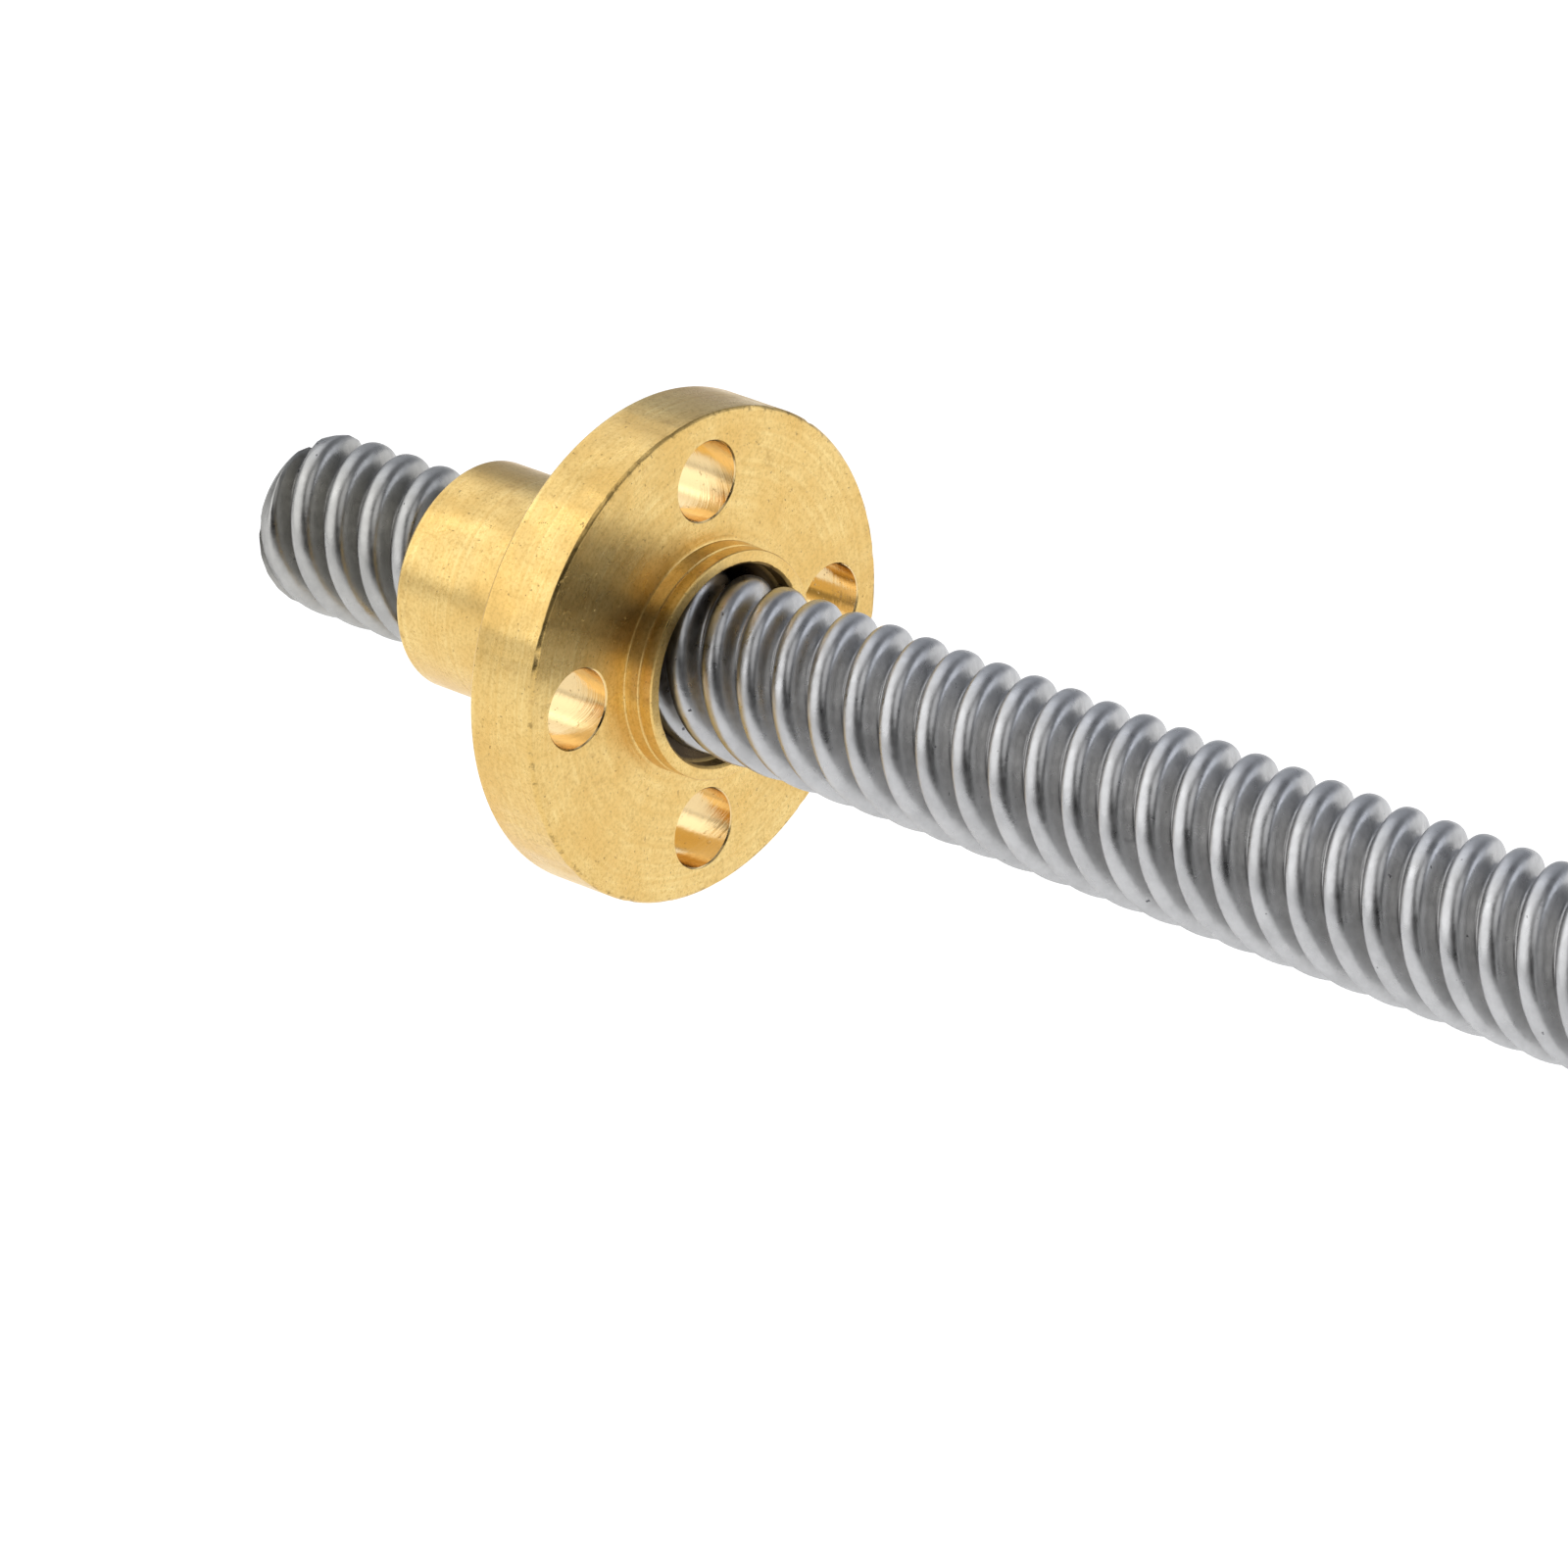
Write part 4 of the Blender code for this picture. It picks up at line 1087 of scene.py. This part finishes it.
def screw_and_nut(finishes):
    """The screw, and the nut with its four flange holes."""
    shape, slot = screw_shape(), "screw_steel"
    screw = stand_in("screw_rolled", shape, finishes[slot], "screw_rotor", "lead_screw", sharp=55)
    flat_shading(screw)
    nut = stand_in("nut_turned", nicked(nut_shape()), finishes["brass"], "flanged_nut", "lead_nut")
    back = NUT_FACE + FLANGE_THICKNESS
    places = [polar(HOLE_CIRCLE, TURN * k / 4) for k in range(4)]
    reshape(nut, [hole_cutter(place, NUT_FACE, back, HOLE_RADIUS, 0.07) for place in places])
    flat_shading(nut)


def motor_outside(finishes):
    """The pieces that show with the motor closed."""
    front_end_cap(finishes["cast_aluminium"])
    rear_end_cap(finishes["cast_aluminium"])
    stator_sheets(finishes["lamination_steel"])
    connector_housing(finishes["ivory_nylon"])
    for number in range(1, 5):
        motor_screw(number, finishes["zinc_plated_steel"])
        connector_pin(number, finishes["tinned_pin"])


def motor_inside(finishes):
    """The bearings, the two distance rings and the magnet. The other pieces inside keep their CAD shape."""
    for name in ("rear_bearing", "front_bearing"):
        bearing(name, finishes["bearing_steel"])
    plain_ring("rear_distance_ring", "rear_spacer", finishes, "zinc_plated_steel")
    plain_ring("front_distance_ring", "front_spacer", finishes, "zinc_plated_steel")
    plain_ring("rotor_disc_magnet", "rotor_magnet", finishes, "magnet")


def carried_over(finishes):
    """Gives each CAD node that stays its own slot's finish, softer edges, and rounder balls."""
    for name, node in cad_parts.items():
        slot = node.data.materials[0].name
        node.data.materials.clear()
        node.data.materials.append(finishes[slot])
        if "_ball_" in name:
            rounder = node.modifiers.new("rounder", "SUBSURF")
            rounder.levels = rounder.render_levels = 2
        elif slot in EDGE_RADII:
            soften(node, EDGE_RADII[slot])


def soften(node, radius):
    """Rounds a CAD node's edges. Its corners are joined first, because the frame stores them apart."""
    joined = node.modifiers.new("joined", "WELD")
    joined.merge_threshold = 1e-6
    rounder = node.modifiers.new("rounder", "BEVEL")
    rounder.width = radius * MM
    rounder.segments = 2
    rounder.limit_method = "ANGLE"
    rounder.angle_limit = math.radians(40)
    rounder.use_clamp_overlap = True


def main():
    finishes = {
        "cast_aluminium": cast_aluminium(),
        "lamination_steel": lamination_steel(),
        "rotor_steel": rotor_steel(),
        "magnet": magnet(),
        "copper_winding": copper_winding(),
        "screw_steel": rolled_steel(),
        "brass": brass(),
        "cage_brass": cage_brass(),
        "bearing_steel": bright_steel("steel_ground", (0.74, 0.75, 0.76), (0.62, 0.63, 0.64), 0.20),
        "zinc_plated_steel": bright_steel("steel_zinc", (0.62, 0.63, 0.66), (0.46, 0.47, 0.50), 0.30, 4200),
        "black_nylon": nylon("nylon_black", (0.035, 0.035, 0.036), (0.02, 0.02, 0.021), 0.50),
        "ivory_nylon": nylon("nylon_ivory", (0.84, 0.81, 0.72), (0.76, 0.72, 0.62), 0.42),
        "circuit_board": circuit_board(),
        "tinned_pin": bright_steel("tin_plated", (0.80, 0.78, 0.70), (0.66, 0.64, 0.58), 0.24),
    }
    screw_and_nut(finishes)
    motor_outside(finishes)
    motor_inside(finishes)
    carried_over(finishes)
    stage_floor()
    world_light()
    bpy.context.scene.view_settings.view_transform = "Standard"
    camera()


main()
